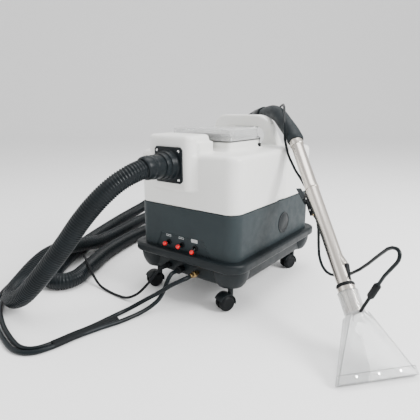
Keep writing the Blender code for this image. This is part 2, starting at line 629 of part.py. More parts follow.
# ---------------------------------------------------------------- motor and pump
def machinery():
    """The vacuum motor with its impeller, and the pump with its eccentric."""
    base = FLOOR_TOP + GAP
    top = CASING_TOP - CASING_WALL - 0.004
    can = [(0.030, top), (MOTOR_RADIUS, top - 0.004), (MOTOR_RADIUS, top - 0.055), (0.048, top - 0.058),
           (0.048, base + 0.012), (MOTOR_RADIUS - 0.006, base + 0.010), (MOTOR_RADIUS - 0.006, base),
           (0.040, base), (0.040, top - 0.062), (MOTOR_RADIUS - 0.003, top - 0.052),
           (MOTOR_RADIUS - 0.003, top - 0.007), (0.030, top - 0.003)]
    turned("vacuum_motor", can, "natural_plastic", (MOTOR_X, MOTOR_Y, 0), steps=28)
    middle = top - 0.030
    hub = [(0, 0.012), (0.014, 0.012), (0.050, 0.006), (0.050, 0.003), (0.006, 0.003), (0.006, -0.060),
           (0, -0.060)]
    impeller = turned("impeller", hub, "bright_metal", (MOTOR_X, MOTOR_Y, middle), steps=20)
    for i in range(6):
        vane = block("vane", (0.016, -0.001, 0.002), (0.048, 0.001, 0.014), None)
        vane.location = Matrix.Rotation(i * pi / 3, 4, "Z") @ vane.location
        vane.location += Vector((MOTOR_X, MOTOR_Y, middle))
        vane.rotation_euler.z = i * pi / 3
        join(impeller, vane)
    low = (PUMP_X - 0.070, PUMP_Y - 0.032, base)
    high = (PUMP_X + 0.070, PUMP_Y + 0.032, base + 0.066)
    pump = block("pump_body", low, high, "tray_shell", 0.006, top=0.004, steps=2)
    cut(pump, block("crank_space", (PUMP_X - 0.016, PUMP_Y - 0.022, base + 0.010),
                    (PUMP_X + 0.016, PUMP_Y + 0.022, base + 0.09), None))
    shaft = [(0, 0.030), (0.004, 0.030), (0.004, -0.030), (0, -0.030)]
    centre = (PUMP_X, PUMP_Y, base + 0.036)
    clear = [(0, 0.035), (0.004 + GAP, 0.035), (0.004 + GAP, -0.035), (0, -0.035)]
    cut(pump, turned("shaft_hole", clear, None, centre, SIDEWAYS, steps=12))
    crank = turned("pump_eccentric", shaft, "bright_metal", centre, SIDEWAYS, steps=12)
    cam = [(0, 0.008), (0.013, 0.008), (0.013, -0.008), (0, -0.008)]
    join(crank, turned("cam", cam, None, (PUMP_X, PUMP_Y, base + 0.036 + 0.004), SIDEWAYS, steps=20))


# ---------------------------------------------------------------- front fittings
def front_fittings():
    """The mains gland, the black feed coupler and the brass coupler under the tray's front."""
    face = CHASSIS_FRONT - GAP
    gland = [(0.0045 + GAP, 0.020), (0.0075, 0.020), (0.009, 0.012), (0.0105, 0.010), (0.0105, 0),
             (0.0045 + GAP, 0)]
    turned("cord_gland", gland, "black_rubber", (GLAND_X, face, FITTING_Z), FORWARD, steps=12)
    bore = SOLUTION_RADIUS - 0.003
    body = [(bore, 0.034), (0.0065, 0.034), (0.0085, 0.028), (0.0085, 0.024), (0.0125, 0.022),
            (0.0125, 0.008), (0.0100, 0.006), (0.0100, 0), (bore, 0)]
    turned("feed_coupler", body, "black_rubber", (FEED_X, face, FITTING_Z), FORWARD, steps=16)
    brass = [(bore, 0.036), (0.0060, 0.036), (0.0078, 0.028), (0.0078, 0.022), (0.0100, 0.020),
             (0.0100, 0.008), (0.0078, 0.006), (0.0078, 0), (bore, 0)]
    turned("brass_coupler", brass, "brass", (BRASS_X, face, FITTING_Z), FORWARD, steps=6)


# ---------------------------------------------------------------- casters
def caster(number, x, y):
    """A twin-wheel caster: a hood on a stem, and two discs on one axle."""
    across = WHEEL_SPACING + 2 * WHEEL_WIDTH
    pivot = empty(f"caster_{number}", (x, y, 0), FLOOR, Matrix.Rotation(CASTER_YAW, 4, "Z"))
    hood_radius = WHEEL_RADIUS + 0.0045
    axle = Vector((0, CASTER_TRAIL, WHEEL_RADIUS))
    drum = [(0, across / 2 - 0.002), (hood_radius, across / 2 - 0.002),
            (hood_radius, -across / 2 + 0.002), (0, -across / 2 + 0.002)]
    hood = turned(f"caster_hood_{number}", drum, "tray_shell", (0, 0, 0), steps=24, parent=pivot)
    hood.location = axle
    hood.rotation_euler = SIDEWAYS.to_euler()
    well = WHEEL_RADIUS + 0.0015
    inner = WHEEL_SPACING / 2 - 0.0006
    for side in (-1, 1):
        reach = sorted((side * inner, side * (across / 2 + 0.01)), reverse=True)
        ring = [(0, reach[0]), (well, reach[0]), (well, reach[1]), (0, reach[1])]
        cut(hood, turned("well", ring, None, axle, SIDEWAYS, steps=24, parent=pivot))
    low = block("below", (-0.05, axle.y - 0.06, -0.02), (0.05, axle.y + 0.06, WHEEL_RADIUS - 0.006), None,
                parent=pivot)
    cut(hood, low)
    front = block("open_side", (-0.05, axle.y + 0.010, -0.02), (0.05, axle.y + 0.06, WHEEL_RADIUS + 0.012),
                  None, parent=pivot)
    cut(hood, front)
    stem_top = FLOOR_TOP - 0.001
    stem = [(0, stem_top), (STEM_RADIUS, stem_top), (STEM_RADIUS, CHASSIS_BOTTOM - 0.004),
            (0.011, CHASSIS_BOTTOM - 0.0045), (0.011, CHASSIS_BOTTOM - 0.010), (0.0085, CHASSIS_BOTTOM - 0.012),
            (0.0085, 0.034), (0, 0.034)]
    join(hood, turned("stem", stem, None, (0, 0, 0), steps=12, parent=pivot))
    for side in (-1, 1):
        reach = sorted((side * inner, side * (across / 2 + 0.01)), reverse=True)
        ring = [(0, reach[0]), (well, reach[0]), (well, reach[1]), (0, reach[1])]
        cut(hood, turned("stem_well", ring, None, axle, SIDEWAYS, steps=24, parent=pivot))
    bore = [(0, 0.02), (0.0035 + GAP, 0.02), (0.0035 + GAP, -0.02), (0, -0.02)]
    cut(hood, turned("axle_hole", bore, None, axle, SIDEWAYS, steps=12, parent=pivot))
    shift = WHEEL_SPACING / 2
    wheel = [(0, across / 2 + 0.001), (WHEEL_RADIUS - 0.006, across / 2 + 0.001),
             (WHEEL_RADIUS - 0.001, across / 2 - 0.003), (WHEEL_RADIUS, across / 2 - 0.006),
             (WHEEL_RADIUS, shift), (0.0035, shift), (0.0035, -shift), (WHEEL_RADIUS, -shift),
             (WHEEL_RADIUS, -across / 2 + 0.006), (WHEEL_RADIUS - 0.001, -across / 2 + 0.003),
             (WHEEL_RADIUS - 0.006, -across / 2 - 0.001), (0, -across / 2 - 0.001)]
    turned(f"caster_wheel_{number}", wheel, "black_rubber", axle, SIDEWAYS, steps=24, parent=pivot)


# ---------------------------------------------------------------- wand
def wand_axis():
    """The wand's own frame: +Z up the tube, +X along the nozzle's mouth, +Y to its underside."""
    across = Vector((0, 0, 1)).cross(WAND_RISE).normalized() * -1
    under = WAND_RISE.cross(across)
    turn = Matrix((across, under, WAND_RISE)).transposed()
    lift = NOZZLE_MOUTH / 2 * abs(under.z) + 0.0005
    return empty("wand_axis", WAND_FOOT + Vector((0, 0, lift)), FLOOR, turn)


def nozzle(axis):
    """The clear nozzle: a flat funnel that ends in a wide slot, with a sleeve round the tube socket."""
    def funnel(name, inset, low, high, finish):
        neck = 2 * SOCKET_RADIUS + 0.004 - 2 * inset
        shape = block(name, (-NOZZLE_WIDTH / 2 + inset, -NOZZLE_MOUTH / 2 + inset, low),
                      (NOZZLE_WIDTH / 2 - inset, NOZZLE_MOUTH / 2 - inset, high), finish, parent=axis)
        middle = (low + high) / 2
        for vert in shape.data.vertices:
            if vert.co.z + middle > (low + high) / 2:
                vert.co.x *= neck / (NOZZLE_WIDTH - 2 * inset)
                vert.co.y *= neck / (NOZZLE_MOUTH - 2 * inset)
        return shape
    head = funnel("nozzle_head", 0.0, 0.0, NOZZLE_NECK, "clear_acrylic")
    sleeve = [(0, SOCKET_END - 0.012), (SOCKET_RADIUS + GAP + NOZZLE_WALL, SOCKET_END - 0.012),
              (SOCKET_RADIUS + GAP + NOZZLE_WALL, NOZZLE_NECK - 0.020), (0, NOZZLE_NECK - 0.020)]
    join(head, turned("sleeve", sleeve, None, (0, 0, 0), steps=24, parent=axis))
    lip = block("lip_bar", (-NOZZLE_WIDTH / 2 + 0.004, -NOZZLE_MOUTH / 2 - 0.0045, 0.0),
                (NOZZLE_WIDTH / 2 - 0.004, -NOZZLE_MOUTH / 2 + 0.001, 0.020), None, parent=axis)
    join(head, lip)
    cut(head, funnel("funnel_inside", NOZZLE_WALL, -0.002, NOZZLE_NECK + 0.002, None))
    bore = [(0, SOCKET_END + 0.02), (SOCKET_RADIUS + GAP, SOCKET_END + 0.02),
            (SOCKET_RADIUS + GAP, NOZZLE_NECK + 0.006), (0.0185, NOZZLE_NECK + 0.001),
            (0.0185, NOZZLE_NECK - 0.012), (0, NOZZLE_NECK - 0.012)]
    cut(head, turned("sleeve_bore", bore, None, (0, 0, 0), steps=24, parent=axis))
    inner = TUBE_RADIUS + GAP
    socket_foot = NOZZLE_NECK + 0.006 + GAP
    socket = [(SOCKET_RADIUS, SOCKET_END), (SOCKET_RADIUS, socket_foot), (inner, socket_foot),
              (inner, SOCKET_END)]
    turned("nozzle_socket", socket, "steel", (0, 0, 0), steps=24, parent=axis)
    band_low = SOCKET_END + GAP
    band = [(TUBE_RADIUS + 0.0035, band_low + 0.009), (TUBE_RADIUS + 0.0050, band_low + 0.006),
            (TUBE_RADIUS + 0.0050, band_low + 0.003), (TUBE_RADIUS + 0.0035, band_low), (inner, band_low),
            (inner, band_low + 0.009)]
    turned("socket_band", band, "black_rubber", (0, 0, 0), steps=24, parent=axis)


def wand(axis):
    """Steel tube in two lengths, collar, grip, spray valve with its lever, and the hose clip."""
    bore = TUBE_RADIUS - TUBE_WALL
    lower = [(TUBE_RADIUS, TUBE_JOINT), (TUBE_RADIUS, TUBE_START), (bore, TUBE_START), (bore, TUBE_JOINT)]
    turned("wand_tube_lower", lower, "steel", (0, 0, 0), steps=24, parent=axis)
    start = TUBE_JOINT + GAP
    swage = TUBE_RADIUS + TUBE_SWAGE
    upper = [(TUBE_RADIUS, TUBE_END), (TUBE_RADIUS, start + 0.012), (swage, start + 0.010), (swage, start),
             (bore, start), (bore, TUBE_END)]
    turned("wand_tube_upper", upper, "steel", (0, 0, 0), steps=24, parent=axis)
    collar_low = TUBE_END - 0.032
    collar = [(TUBE_RADIUS + COLLAR_THICK, TUBE_END), (TUBE_RADIUS + COLLAR_THICK, collar_low + 0.003),
              (TUBE_RADIUS + 0.0010, collar_low), (TUBE_RADIUS + GAP, collar_low), (TUBE_RADIUS + GAP, TUBE_END)]
    turned("tube_collar", collar, "steel", (0, 0, 0), steps=24, parent=axis)


def grip_point(out, up):
    """A place on the wand's own frame, given level towards the machine's back and upwards."""
    reach = Vector((WAND_RISE.x, WAND_RISE.y)).length
    return Vector((0, WAND_RISE.z * out - reach * up, TUBE_END + reach * out + WAND_RISE.z * up))


def grip(axis):
    """The curved grip: it swallows the tube's end, bends level and stops at the hose cuff."""
    points = smooth_route([grip_point(out, up) for out, up in GRIP_ROUTE], 0.030)
    shape = tube("grip_core", points, GRIP_RADIUS, "grip_plastic", resolution=4, parent=axis)
    piece = as_mesh(shape, "wand_grip", "grip_plastic")
    socket = TUBE_RADIUS + COLLAR_THICK + GAP
    hole = [(0, TUBE_END + GAP), (socket, TUBE_END + GAP), (socket, TUBE_END - 0.06), (0, TUBE_END - 0.06)]
    cut(piece, turned("tube_socket", hole, None, (0, 0, 0), steps=24, parent=axis))
    way = (points[-1] - points[-2]).normalized()
    bore = [(0, 0.02), (0.020, 0.02), (0.020, -0.050), (0, -0.050)]
    cut(piece, turned("grip_bore", bore, None, points[-1], facing(way), steps=16, parent=axis))
    inner = CUFF_RADIUS - 0.010
    cuff = [(CUFF_RADIUS, CUFF_LENGTH), (CUFF_RADIUS, 0.006), (CUFF_RADIUS - 0.002, GAP), (inner, GAP),
            (inner, CUFF_LENGTH)]
    turned("wand_cuff", cuff, "hose_plastic", points[-1], facing(way), steps=24, parent=axis)


def valve(axis):
    """The spray valve under the tube: body, fingers' lever on its pivot, and outlet stub."""
    near = TUBE_RADIUS + TUBE_SWAGE + GAP
    body = block("spray_valve", (-0.011, near, VALVE_AT - 0.042), (0.011, near + 0.022, VALVE_AT + 0.030),
                 "black_rubber", parent=axis)
    pivot = (0, near + 0.031, VALVE_AT + 0.022)
    join(body, block("pivot_ear", (-0.0045, near + 0.018, pivot[2] - 0.006),
                     (0.0045, pivot[1] + 0.004, pivot[2] + 0.006), None, parent=axis))
    pin = [(0, 0.012), (0.0022, 0.012), (0.0022, -0.012), (0, -0.012)]
    join(body, turned("valve_pin", pin, None, pivot, SIDEWAYS, steps=10, parent=axis))
    stub = [(0, 0.020), (0.0040, 0.020), (0.0050, 0.012), (0.0065, 0.010), (0.0065, -0.001), (0, -0.001)]
    join(body, turned("valve_stub", stub, None, (0, near + 0.011, VALVE_AT - 0.042), facing((0, 0, -1)),
                      steps=12, parent=axis))
    join(body, turned("valve_inlet", stub, None, (0, near + 0.011, VALVE_AT + 0.030), facing((0, 0, 1)),
                      steps=12, parent=axis))
    lever = block("trigger_lever", (-0.0085, 0.0078, -0.010), (0.0085, 0.0106, 0.066), "grip_plastic",
                  0.0012, parent=axis)
    shift_origin(lever, pivot)
    swing = Matrix.Rotation(TRIGGER_REST, 4, "X")
    lever.rotation_euler = swing.to_euler()
    for side in (-1, 1):
        cheek = block("cheek", (0.0070 - 0.0015, -0.0050, -0.0055), (0.0070 + 0.0015, 0.0085, 0.0055), None,
                      parent=axis)
        cheek.location.x *= side
        shift_origin(cheek, pivot)
        cheek.rotation_euler = swing.to_euler()
        join(lever, cheek)
    clear = [(0, 0.02), (0.0022 + GAP, 0.02), (0.0022 + GAP, -0.02), (0, -0.02)]
    cut(lever, turned("lever_hole", clear, None, pivot, SIDEWAYS, steps=10, parent=axis))
    return pivot


# ---------------------------------------------------------------- the wand's two thin hoses
def wand_hoses(axis):
    """The feed to the spray valve, the loop from the valve to the jet, and the jet's connector."""
    near = TUBE_RADIUS + TUBE_SWAGE + GAP
    inlet = VALVE_AT + 0.050 + 2 * GAP
    feed = [(0.0, near + 0.011, inlet), (0.0, 0.032, 0.568), (-0.001, 0.039, 0.592), (-0.006, 0.050, 0.640),
            (-0.018, 0.040, 0.696), (-0.0295, 0.011, 0.732), (-0.031, -0.0215, 0.764),
            (-0.024, -0.022, 0.797), (-0.012, -0.012, 0.832), (0.0, 0.000, 0.868), (0.014, 0.022, 0.905),
            (0.027, 0.052, 0.938), (0.034, 0.090, 0.965), (0.0368, 0.143, 0.9865), (0.0368, 0.185, 1.0215),
            (0.0368, 0.2189, 1.0497)]
    tube("wand_hose", smooth_route(feed, 0.05), WAND_HOSE_RADIUS, "hose_plastic", parent=axis)
    outlet = VALVE_AT - 0.062 - 2 * GAP
    loop = [(0.0, near + 0.011, outlet), (0.0, 0.033, 0.430), (0.002, 0.048, 0.410), (0.006, 0.076, 0.388),
            (0.009, 0.099, 0.365), (0.013, 0.110, 0.338), (0.017, 0.105, 0.313), (0.021, 0.086, 0.293),
            (0.025, 0.056, 0.276), (0.028, 0.022, 0.264), (0.028, -0.012, 0.256), (0.026, -0.047, 0.249),
            (0.022, -0.085, 0.243), (0.018, -0.125, 0.238), (0.013, -0.168, 0.233), (0.008, -0.206, 0.226),
            (0.004, -0.230, 0.213), (0.002, -0.237, 0.199), (0.0005, -0.226, 0.1875), (0.0, -0.200, 0.184),
            (0.0, -0.160, 0.1806), (0.0, -0.1322, 0.1744)]
    tube("jet_hose", smooth_route(loop, 0.05), WAND_HOSE_RADIUS, "hose_plastic", parent=axis)
    knurl = [(0, 0.107), (0.0062, 0.107), (0.0085, 0.103), (0.0085, 0.064), (0.0065, 0.060), (0.0040, 0.058),
             (0.0040, 0), (0, 0)]
    foot = Vector((0, -SOCKET_RADIUS - 2 * GAP - NOZZLE_WALL - 0.0013, NOZZLE_NECK + 0.001))
    turned("jet_connector", knurl, "black_rubber", foot, facing((0, -0.976, 0.218)), steps=16, parent=axis)


# ---------------------------------------------------------------- free hoses and the mains lead
HOSE_LAY = HOSE_RADIUS + 0.0008           # heights of the middles of what lies on the floor
SOLUTION_LAY = SOLUTION_RADIUS + GAP
MAINS_LAY = MAINS_RADIUS + GAP

VACUUM_ROUTE = [
    (-0.030, -0.3456, 0.4355), (-0.030, -0.382, 0.4355), (-0.041, -0.425, 0.422), (-0.064, -0.462, 0.396),
    (-0.096, -0.496, 0.354), (-0.132, -0.526, 0.300), (-0.168, -0.552, 0.240), (-0.208, -0.580, 0.178),
    (-0.252, -0.606, 0.118), (-0.302, -0.622, 0.068), (-0.360, -0.622, 0.041), (-0.416, -0.596, 0.035),
    (-0.459, -0.543, 0.044), (-0.482, -0.480, 0.071), (-0.498, -0.418, 0.089), (-0.518, -0.340, 0.089),
    (-0.552, -0.235, 0.068), (-0.592, -0.135, 0.042), (-0.640, -0.020, 0.030), (-0.690, 0.130, HOSE_LAY),
    (-0.735, 0.270, HOSE_LAY), (-0.755, 0.400, HOSE_LAY), (-0.725, 0.530, HOSE_LAY),
    (-0.620, 0.595, HOSE_LAY), (-0.510, 0.560, HOSE_LAY), (-0.465, 0.460, HOSE_LAY),
    (-0.500, 0.370, HOSE_LAY), (-0.545, 0.280, HOSE_LAY), (-0.570, 0.180, HOSE_LAY),
    (-0.558, 0.050, HOSE_LAY), (-0.525, -0.070, HOSE_LAY), (-0.480, -0.190, HOSE_LAY),
    (-0.428, -0.285, HOSE_LAY), (-0.392, -0.351, HOSE_LAY), (-0.372, -0.390, HOSE_LAY),
    (-0.370, -0.427, HOSE_LAY), (-0.388, -0.452, HOSE_LAY), (-0.418, -0.460, HOSE_LAY),
    (-0.449, -0.446, HOSE_LAY), (-0.484, -0.406, HOSE_LAY), (-0.542, -0.333, HOSE_LAY),
    (-0.602, -0.240, HOSE_LAY), (-0.658, -0.140, HOSE_LAY), (-0.712, -0.035, HOSE_LAY),
    (-0.765, 0.075, HOSE_LAY), (-0.815, 0.180, HOSE_LAY), (-0.855, 0.290, 0.033), (-0.875, 0.390, 0.045),
    (-0.875, 0.480, 0.068), (-0.845, 0.560, 0.100), (-0.770, 0.610, 0.150), (-0.670, 0.625, 0.215),
    (-0.560, 0.600, 0.290), (-0.450, 0.550, 0.370), (-0.345, 0.495, 0.440), (-0.250, 0.443, 0.499),
    (-0.165, 0.385, 0.537), (-0.1088, 0.3362, 0.5552), (-0.0756, 0.3066, 0.5611)]

FEED_ROUTE = [
    (-0.010, -0.2851, 0.104), (-0.010, -0.3005, 0.1036), (-0.0106, -0.3150, 0.094), (-0.0136, -0.3255, 0.072),
    (-0.0167, -0.3363, 0.051), (-0.0189, -0.3556, 0.033), (-0.0272, -0.3802, 0.019), (-0.0366, -0.4117, 0.010),
    (-0.0451, -0.4467, SOLUTION_LAY), (-0.052, -0.485, SOLUTION_LAY),
    (-0.066, -0.530, SOLUTION_LAY), (-0.083, -0.600, SOLUTION_LAY),
    (-0.092, -0.668, SOLUTION_LAY), (-0.112, -0.714, SOLUTION_LAY), (-0.158, -0.734, SOLUTION_LAY),
    (-0.230, -0.724, SOLUTION_LAY), (-0.319, -0.699, SOLUTION_LAY), (-0.419, -0.655, SOLUTION_LAY),
    (-0.509, -0.586, SOLUTION_LAY), (-0.580, -0.497, SOLUTION_LAY), (-0.638, -0.420, SOLUTION_LAY),
    (-0.676, -0.333, SOLUTION_LAY), (-0.715, -0.200, SOLUTION_LAY), (-0.792, 0.000, SOLUTION_LAY),
    (-0.862, 0.160, SOLUTION_LAY), (-0.930, 0.330, SOLUTION_LAY), (-0.955, 0.500, SOLUTION_LAY),
    (-0.930, 0.660, SOLUTION_LAY), (-0.840, 0.790, SOLUTION_LAY), (-0.700, 0.855, SOLUTION_LAY),
    (-0.540, 0.865, SOLUTION_LAY), (-0.380, 0.830, SOLUTION_LAY), (-0.260, 0.760, SOLUTION_LAY),
    (-0.190, 0.685, 0.010), (-0.160, 0.625, 0.035), (-0.155, 0.580, 0.095), (-0.158, 0.540, 0.190),
    (-0.165, 0.510, 0.300), (-0.172, 0.485, 0.400), (-0.168, 0.455, 0.480), (-0.140, 0.415, 0.532),
    (-0.100, 0.3780, 0.5525), (-0.0512, 0.3342, 0.5617)]

SECOND_ROUTE = [
    (0.050, -0.2871, 0.104), (0.0495, -0.303, 0.1035), (0.040, -0.320, 0.0985), (0.0215, -0.334, 0.087),
    (-0.0004, -0.3453, 0.070), (-0.0228, -0.3599, 0.053), (-0.0456, -0.3791, 0.037), (-0.0764, -0.4179, 0.014),
    (-0.088, -0.450, 0.0075),
    (-0.0905, -0.490, SOLUTION_LAY), (-0.0925, -0.540, SOLUTION_LAY), (-0.100, -0.600, SOLUTION_LAY),
    (-0.1075, -0.662, SOLUTION_LAY), (-0.124, -0.7015, SOLUTION_LAY), (-0.160, -0.717, SOLUTION_LAY),
    (-0.226, -0.708, SOLUTION_LAY), (-0.312, -0.684, SOLUTION_LAY), (-0.411, -0.641, SOLUTION_LAY),
    (-0.499, -0.573, SOLUTION_LAY), (-0.568, -0.486, SOLUTION_LAY), (-0.624, -0.412, SOLUTION_LAY),
    (-0.661, -0.327, SOLUTION_LAY), (-0.701, -0.194, SOLUTION_LAY), (-0.777, 0.006, SOLUTION_LAY),
    (-0.848, 0.166, SOLUTION_LAY), (-0.914, 0.333, SOLUTION_LAY), (-0.938, 0.498, SOLUTION_LAY),
    (-0.915, 0.652, SOLUTION_LAY), (-0.832, 0.774, SOLUTION_LAY), (-0.700, 0.8362, SOLUTION_LAY),
    (-0.620, 0.8502, SOLUTION_LAY)]

MAINS_ROUTE = [
    (-0.066, -0.256, 0.104), (-0.066, -0.285, 0.104), (-0.068, -0.312, 0.092), (-0.079, -0.340, 0.063),
    (-0.103, -0.360, 0.032), (-0.140, -0.370, 0.011), (-0.185, -0.371, MAINS_LAY),
    (-0.240, -0.368, MAINS_LAY), (-0.290, -0.362, 0.010), (-0.335, -0.353, 0.033), (-0.372, -0.343, 0.059),
    (-0.410, -0.326, 0.068), (-0.450, -0.302, 0.060), (-0.482, -0.268, 0.028), (-0.505, -0.222, 0.008),
    (-0.532, -0.150, MAINS_LAY), (-0.567, -0.065, MAINS_LAY), (-0.600, 0.030, MAINS_LAY),
    (-0.630, 0.130, MAINS_LAY), (-0.661, 0.225, MAINS_LAY), (-0.688, 0.300, 0.006), (-0.700, 0.355, 0.009),
    (-0.7018, 0.400, 0.012)]


def free_cords():
    """The vacuum hose, the two solution hoses and the mains lead, each as it lies on the floor."""
    tube("vacuum_hose", smooth_route(VACUUM_ROUTE, 0.14), HOSE_RADIUS, "hose_plastic", resolution=3)
    tube("solution_hose_1", smooth_route(FEED_ROUTE, 0.12), SOLUTION_RADIUS, "hose_plastic")
    tube("solution_hose_2", smooth_route(SECOND_ROUTE, 0.12), SOLUTION_RADIUS, "hose_plastic")
    tube("mains_cord", smooth_route(MAINS_ROUTE, 0.08), MAINS_RADIUS, "black_rubber")


def mains_coil():
    """The rest of the lead, put away as one coil, drawn as the ring that its turns fill."""
    inner, outer = COIL_TURN_RADIUS - COIL_BAND / 2, COIL_TURN_RADIUS + COIL_BAND / 2
    round_over = 0.005
    low = GAP
    profile = [(outer - round_over, COIL_HEIGHT), (outer, COIL_HEIGHT - round_over), (outer, low + round_over),
               (outer - round_over, low), (inner + round_over, low), (inner, low + round_over),
               (inner, COIL_HEIGHT - round_over), (inner + round_over, COIL_HEIGHT)]
    turned("mains_coil", profile, "black_rubber", COIL_CENTRE, steps=36)


def mains_plug():
    """The plug on the end of the lead, lying beside the coil: relief, body, two blades and a pin."""
    y = COIL_CENTRE.y + COIL_TURN_RADIUS + COIL_BAND / 2 + GAP + PLUG_WIDTH / 2
    z = PLUG_HEIGHT / 2 + GAP
    start = COIL_CENTRE.x + 0.004
    body_x = start + RELIEF_LENGTH
    plug = block("mains_plug", (body_x, y - PLUG_WIDTH / 2, z - PLUG_HEIGHT / 2),
                 (body_x + PLUG_LENGTH, y + PLUG_WIDTH / 2, z + PLUG_HEIGHT / 2), "black_rubber",
                 0.006, top=0.003, bottom=0.003, steps=3)
    relief = [(0, RELIEF_LENGTH + 0.002), (0.0075, RELIEF_LENGTH + 0.002), (0.0052, 0), (0, 0)]
    join(plug, turned("relief", relief, None, (start, y, z), SIDEWAYS, steps=12))
    face = body_x + PLUG_LENGTH
    for side in (-1, 1):
        join(plug, block("blade", (face - 0.002, y + side * 0.0064 - 0.0008, z + 0.0005),
                         (face + PRONG_LENGTH, y + side * 0.0064 + 0.0008, z + 0.0068), None))
    pin = [(0, PRONG_LENGTH + 0.003), (0.0024, PRONG_LENGTH), (0.0024, -0.002), (0, -0.002)]
    join(plug, turned("earth_pin", pin, None, (face, y, z - 0.0055), SIDEWAYS, steps=10))


CORD_NODES = ("vacuum_hose", "solution_hose_1", "solution_hose_2", "mains_cord", "mains_coil", "mains_plug")


def recentre():
    """Move everything so that the origin is on the floor below the middle of machine and wand."""
    bpy.context.view_layer.update()
    graph = bpy.context.evaluated_depsgraph_get()
    corners = []
    for piece in PARTS.objects:
        if piece.type != "EMPTY" and piece.name not in CORD_NODES:
            shape = piece.evaluated_get(graph)
            corners += [piece.matrix_world @ vert.co for vert in shape.to_mesh().vertices]
            shape.to_mesh_clear()
    low = Vector([min(corner[i] for corner in corners) for i in range(3)])
    high = Vector([max(corner[i] for corner in corners) for i in range(3)])
    FLOOR.location = (-(low.x + high.x) / 2, -(low.y + high.y) / 2, -low.z)


# ---------------------------------------------------------------- build
def build_machine():
    chassis_tray()
    motor_casing()
    vent_cap()
    switches()
    tank_body()
    tank_fittings()
    lid_set()
    hose_flange()
    machinery()
    front_fittings()
    number = 1
    for sx in (-1, 1):
        for sy in (-1, 1):
            caster(number, sx * CASTER_X, sy * CASTER_Y)
            number += 1


def build_wand():
    axis = wand_axis()
    nozzle(axis)
    wand(axis)
    grip(axis)
    valve(axis)
    wand_hoses(axis)


build_machine()
build_wand()
free_cords()
mains_coil()
mains_plug()
recentre()
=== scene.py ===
# %% [markdown]
# # A spot extractor, with its hoses, wand and clear nozzle
#
# A spot extractor sprays cleaning solution into a carpet or a seat and sucks the dirty water back.
# This lesson dresses a finished frame of the machine: the frame says where every working part
# sits and how it moves, and the cells below give each visible surface its real shape and finish.

# %% Load the frame
import json
from math import cos, pi, radians, sin

import bmesh
import bpy
from mathutils import Matrix, Vector

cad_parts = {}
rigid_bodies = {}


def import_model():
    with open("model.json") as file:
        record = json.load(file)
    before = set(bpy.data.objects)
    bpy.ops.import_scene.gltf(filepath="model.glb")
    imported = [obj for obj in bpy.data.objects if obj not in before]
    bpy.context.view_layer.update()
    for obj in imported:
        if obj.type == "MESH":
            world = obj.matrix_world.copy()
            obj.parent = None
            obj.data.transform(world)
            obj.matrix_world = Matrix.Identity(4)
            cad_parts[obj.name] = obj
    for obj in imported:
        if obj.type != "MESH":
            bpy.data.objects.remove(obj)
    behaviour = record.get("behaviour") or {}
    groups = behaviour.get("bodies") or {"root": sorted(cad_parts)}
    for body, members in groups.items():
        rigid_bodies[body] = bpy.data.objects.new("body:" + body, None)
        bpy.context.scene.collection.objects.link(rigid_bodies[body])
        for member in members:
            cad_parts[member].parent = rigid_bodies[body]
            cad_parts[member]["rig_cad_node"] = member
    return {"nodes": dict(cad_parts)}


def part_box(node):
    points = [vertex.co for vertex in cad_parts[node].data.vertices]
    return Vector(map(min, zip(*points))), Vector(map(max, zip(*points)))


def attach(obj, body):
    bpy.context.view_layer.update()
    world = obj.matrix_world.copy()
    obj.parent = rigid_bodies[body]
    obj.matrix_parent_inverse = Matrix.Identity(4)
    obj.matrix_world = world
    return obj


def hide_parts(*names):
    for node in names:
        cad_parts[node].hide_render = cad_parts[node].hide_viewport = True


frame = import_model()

for stray in list(bpy.data.objects):
    if "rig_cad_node" not in stray and not stray.name.startswith("body:"):
        bpy.data.objects.remove(stray)
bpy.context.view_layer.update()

# %% [markdown]
# ## Two ways to say where something is
#
# A maker measures the machine from the middle of its casing, and the wand from its own tube.
# Both are awkward to write as places in the room, so two small helpers turn them into room
# places. They take their starting points from frame pieces, so nothing here can drift away
# from the frame.

# %% Places on the machine and on the wand
casing_low, casing_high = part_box("motor_casing")
MACHINE_MIDDLE = Vector(((casing_low.x + casing_high.x) / 2, (casing_low.y + casing_high.y) / 2, 0))
MACHINE = Matrix.Translation(MACHINE_MIDDLE)


def on_machine(point):
    """A place measured from the floor below the middle of the casing."""
    return MACHINE_MIDDLE + Vector(point)


def middle_of(node):
    low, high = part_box(node)
    return (low + high) / 2


SOCKET_MIDDLE_AT = 0.18915        # along the wand from the nozzle's mouth
RISE = (middle_of("tube_collar") - middle_of("nozzle_socket")).normalized()
ACROSS = -Vector((0, 0, 1)).cross(RISE).normalized()
UNDER = RISE.cross(ACROSS)
WAND_FOOT = middle_of("nozzle_socket") - RISE * SOCKET_MIDDLE_AT
WAND_TURN = Matrix((ACROSS, UNDER, RISE)).transposed()
WAND = Matrix.Translation(WAND_FOOT) @ WAND_TURN.to_4x4()
print("wand leans", round(RISE.angle(Vector((0, 0, 1))) * 180 / pi, 1), "degrees")

# %% [markdown]
# ## The view
#
# The machine is shown from its front right corner and from a little above, the way a person
# standing beside it would see it. A lens of about 34 mm keeps the long wand in the frame
# without stretching the nozzle, which is the nearest piece.

# %% Camera
VIEW_AZIMUTH = radians(36.84)
VIEW_PITCH = radians(14.28)
camera_data = bpy.data.cameras.new("studio_camera")
camera_data.sensor_width = 36.0
camera_data.lens = 36.0 * 401.8 / 420
camera = bpy.data.objects.new("studio_camera", camera_data)
camera.location = on_machine((0.774, -1.152, 0.598))
camera.rotation_euler = (pi / 2 - VIEW_PITCH, 0, VIEW_AZIMUTH)
bpy.context.scene.collection.objects.link(camera)
bpy.context.scene.camera = camera
print("camera at", tuple(round(c, 3) for c in camera.location))

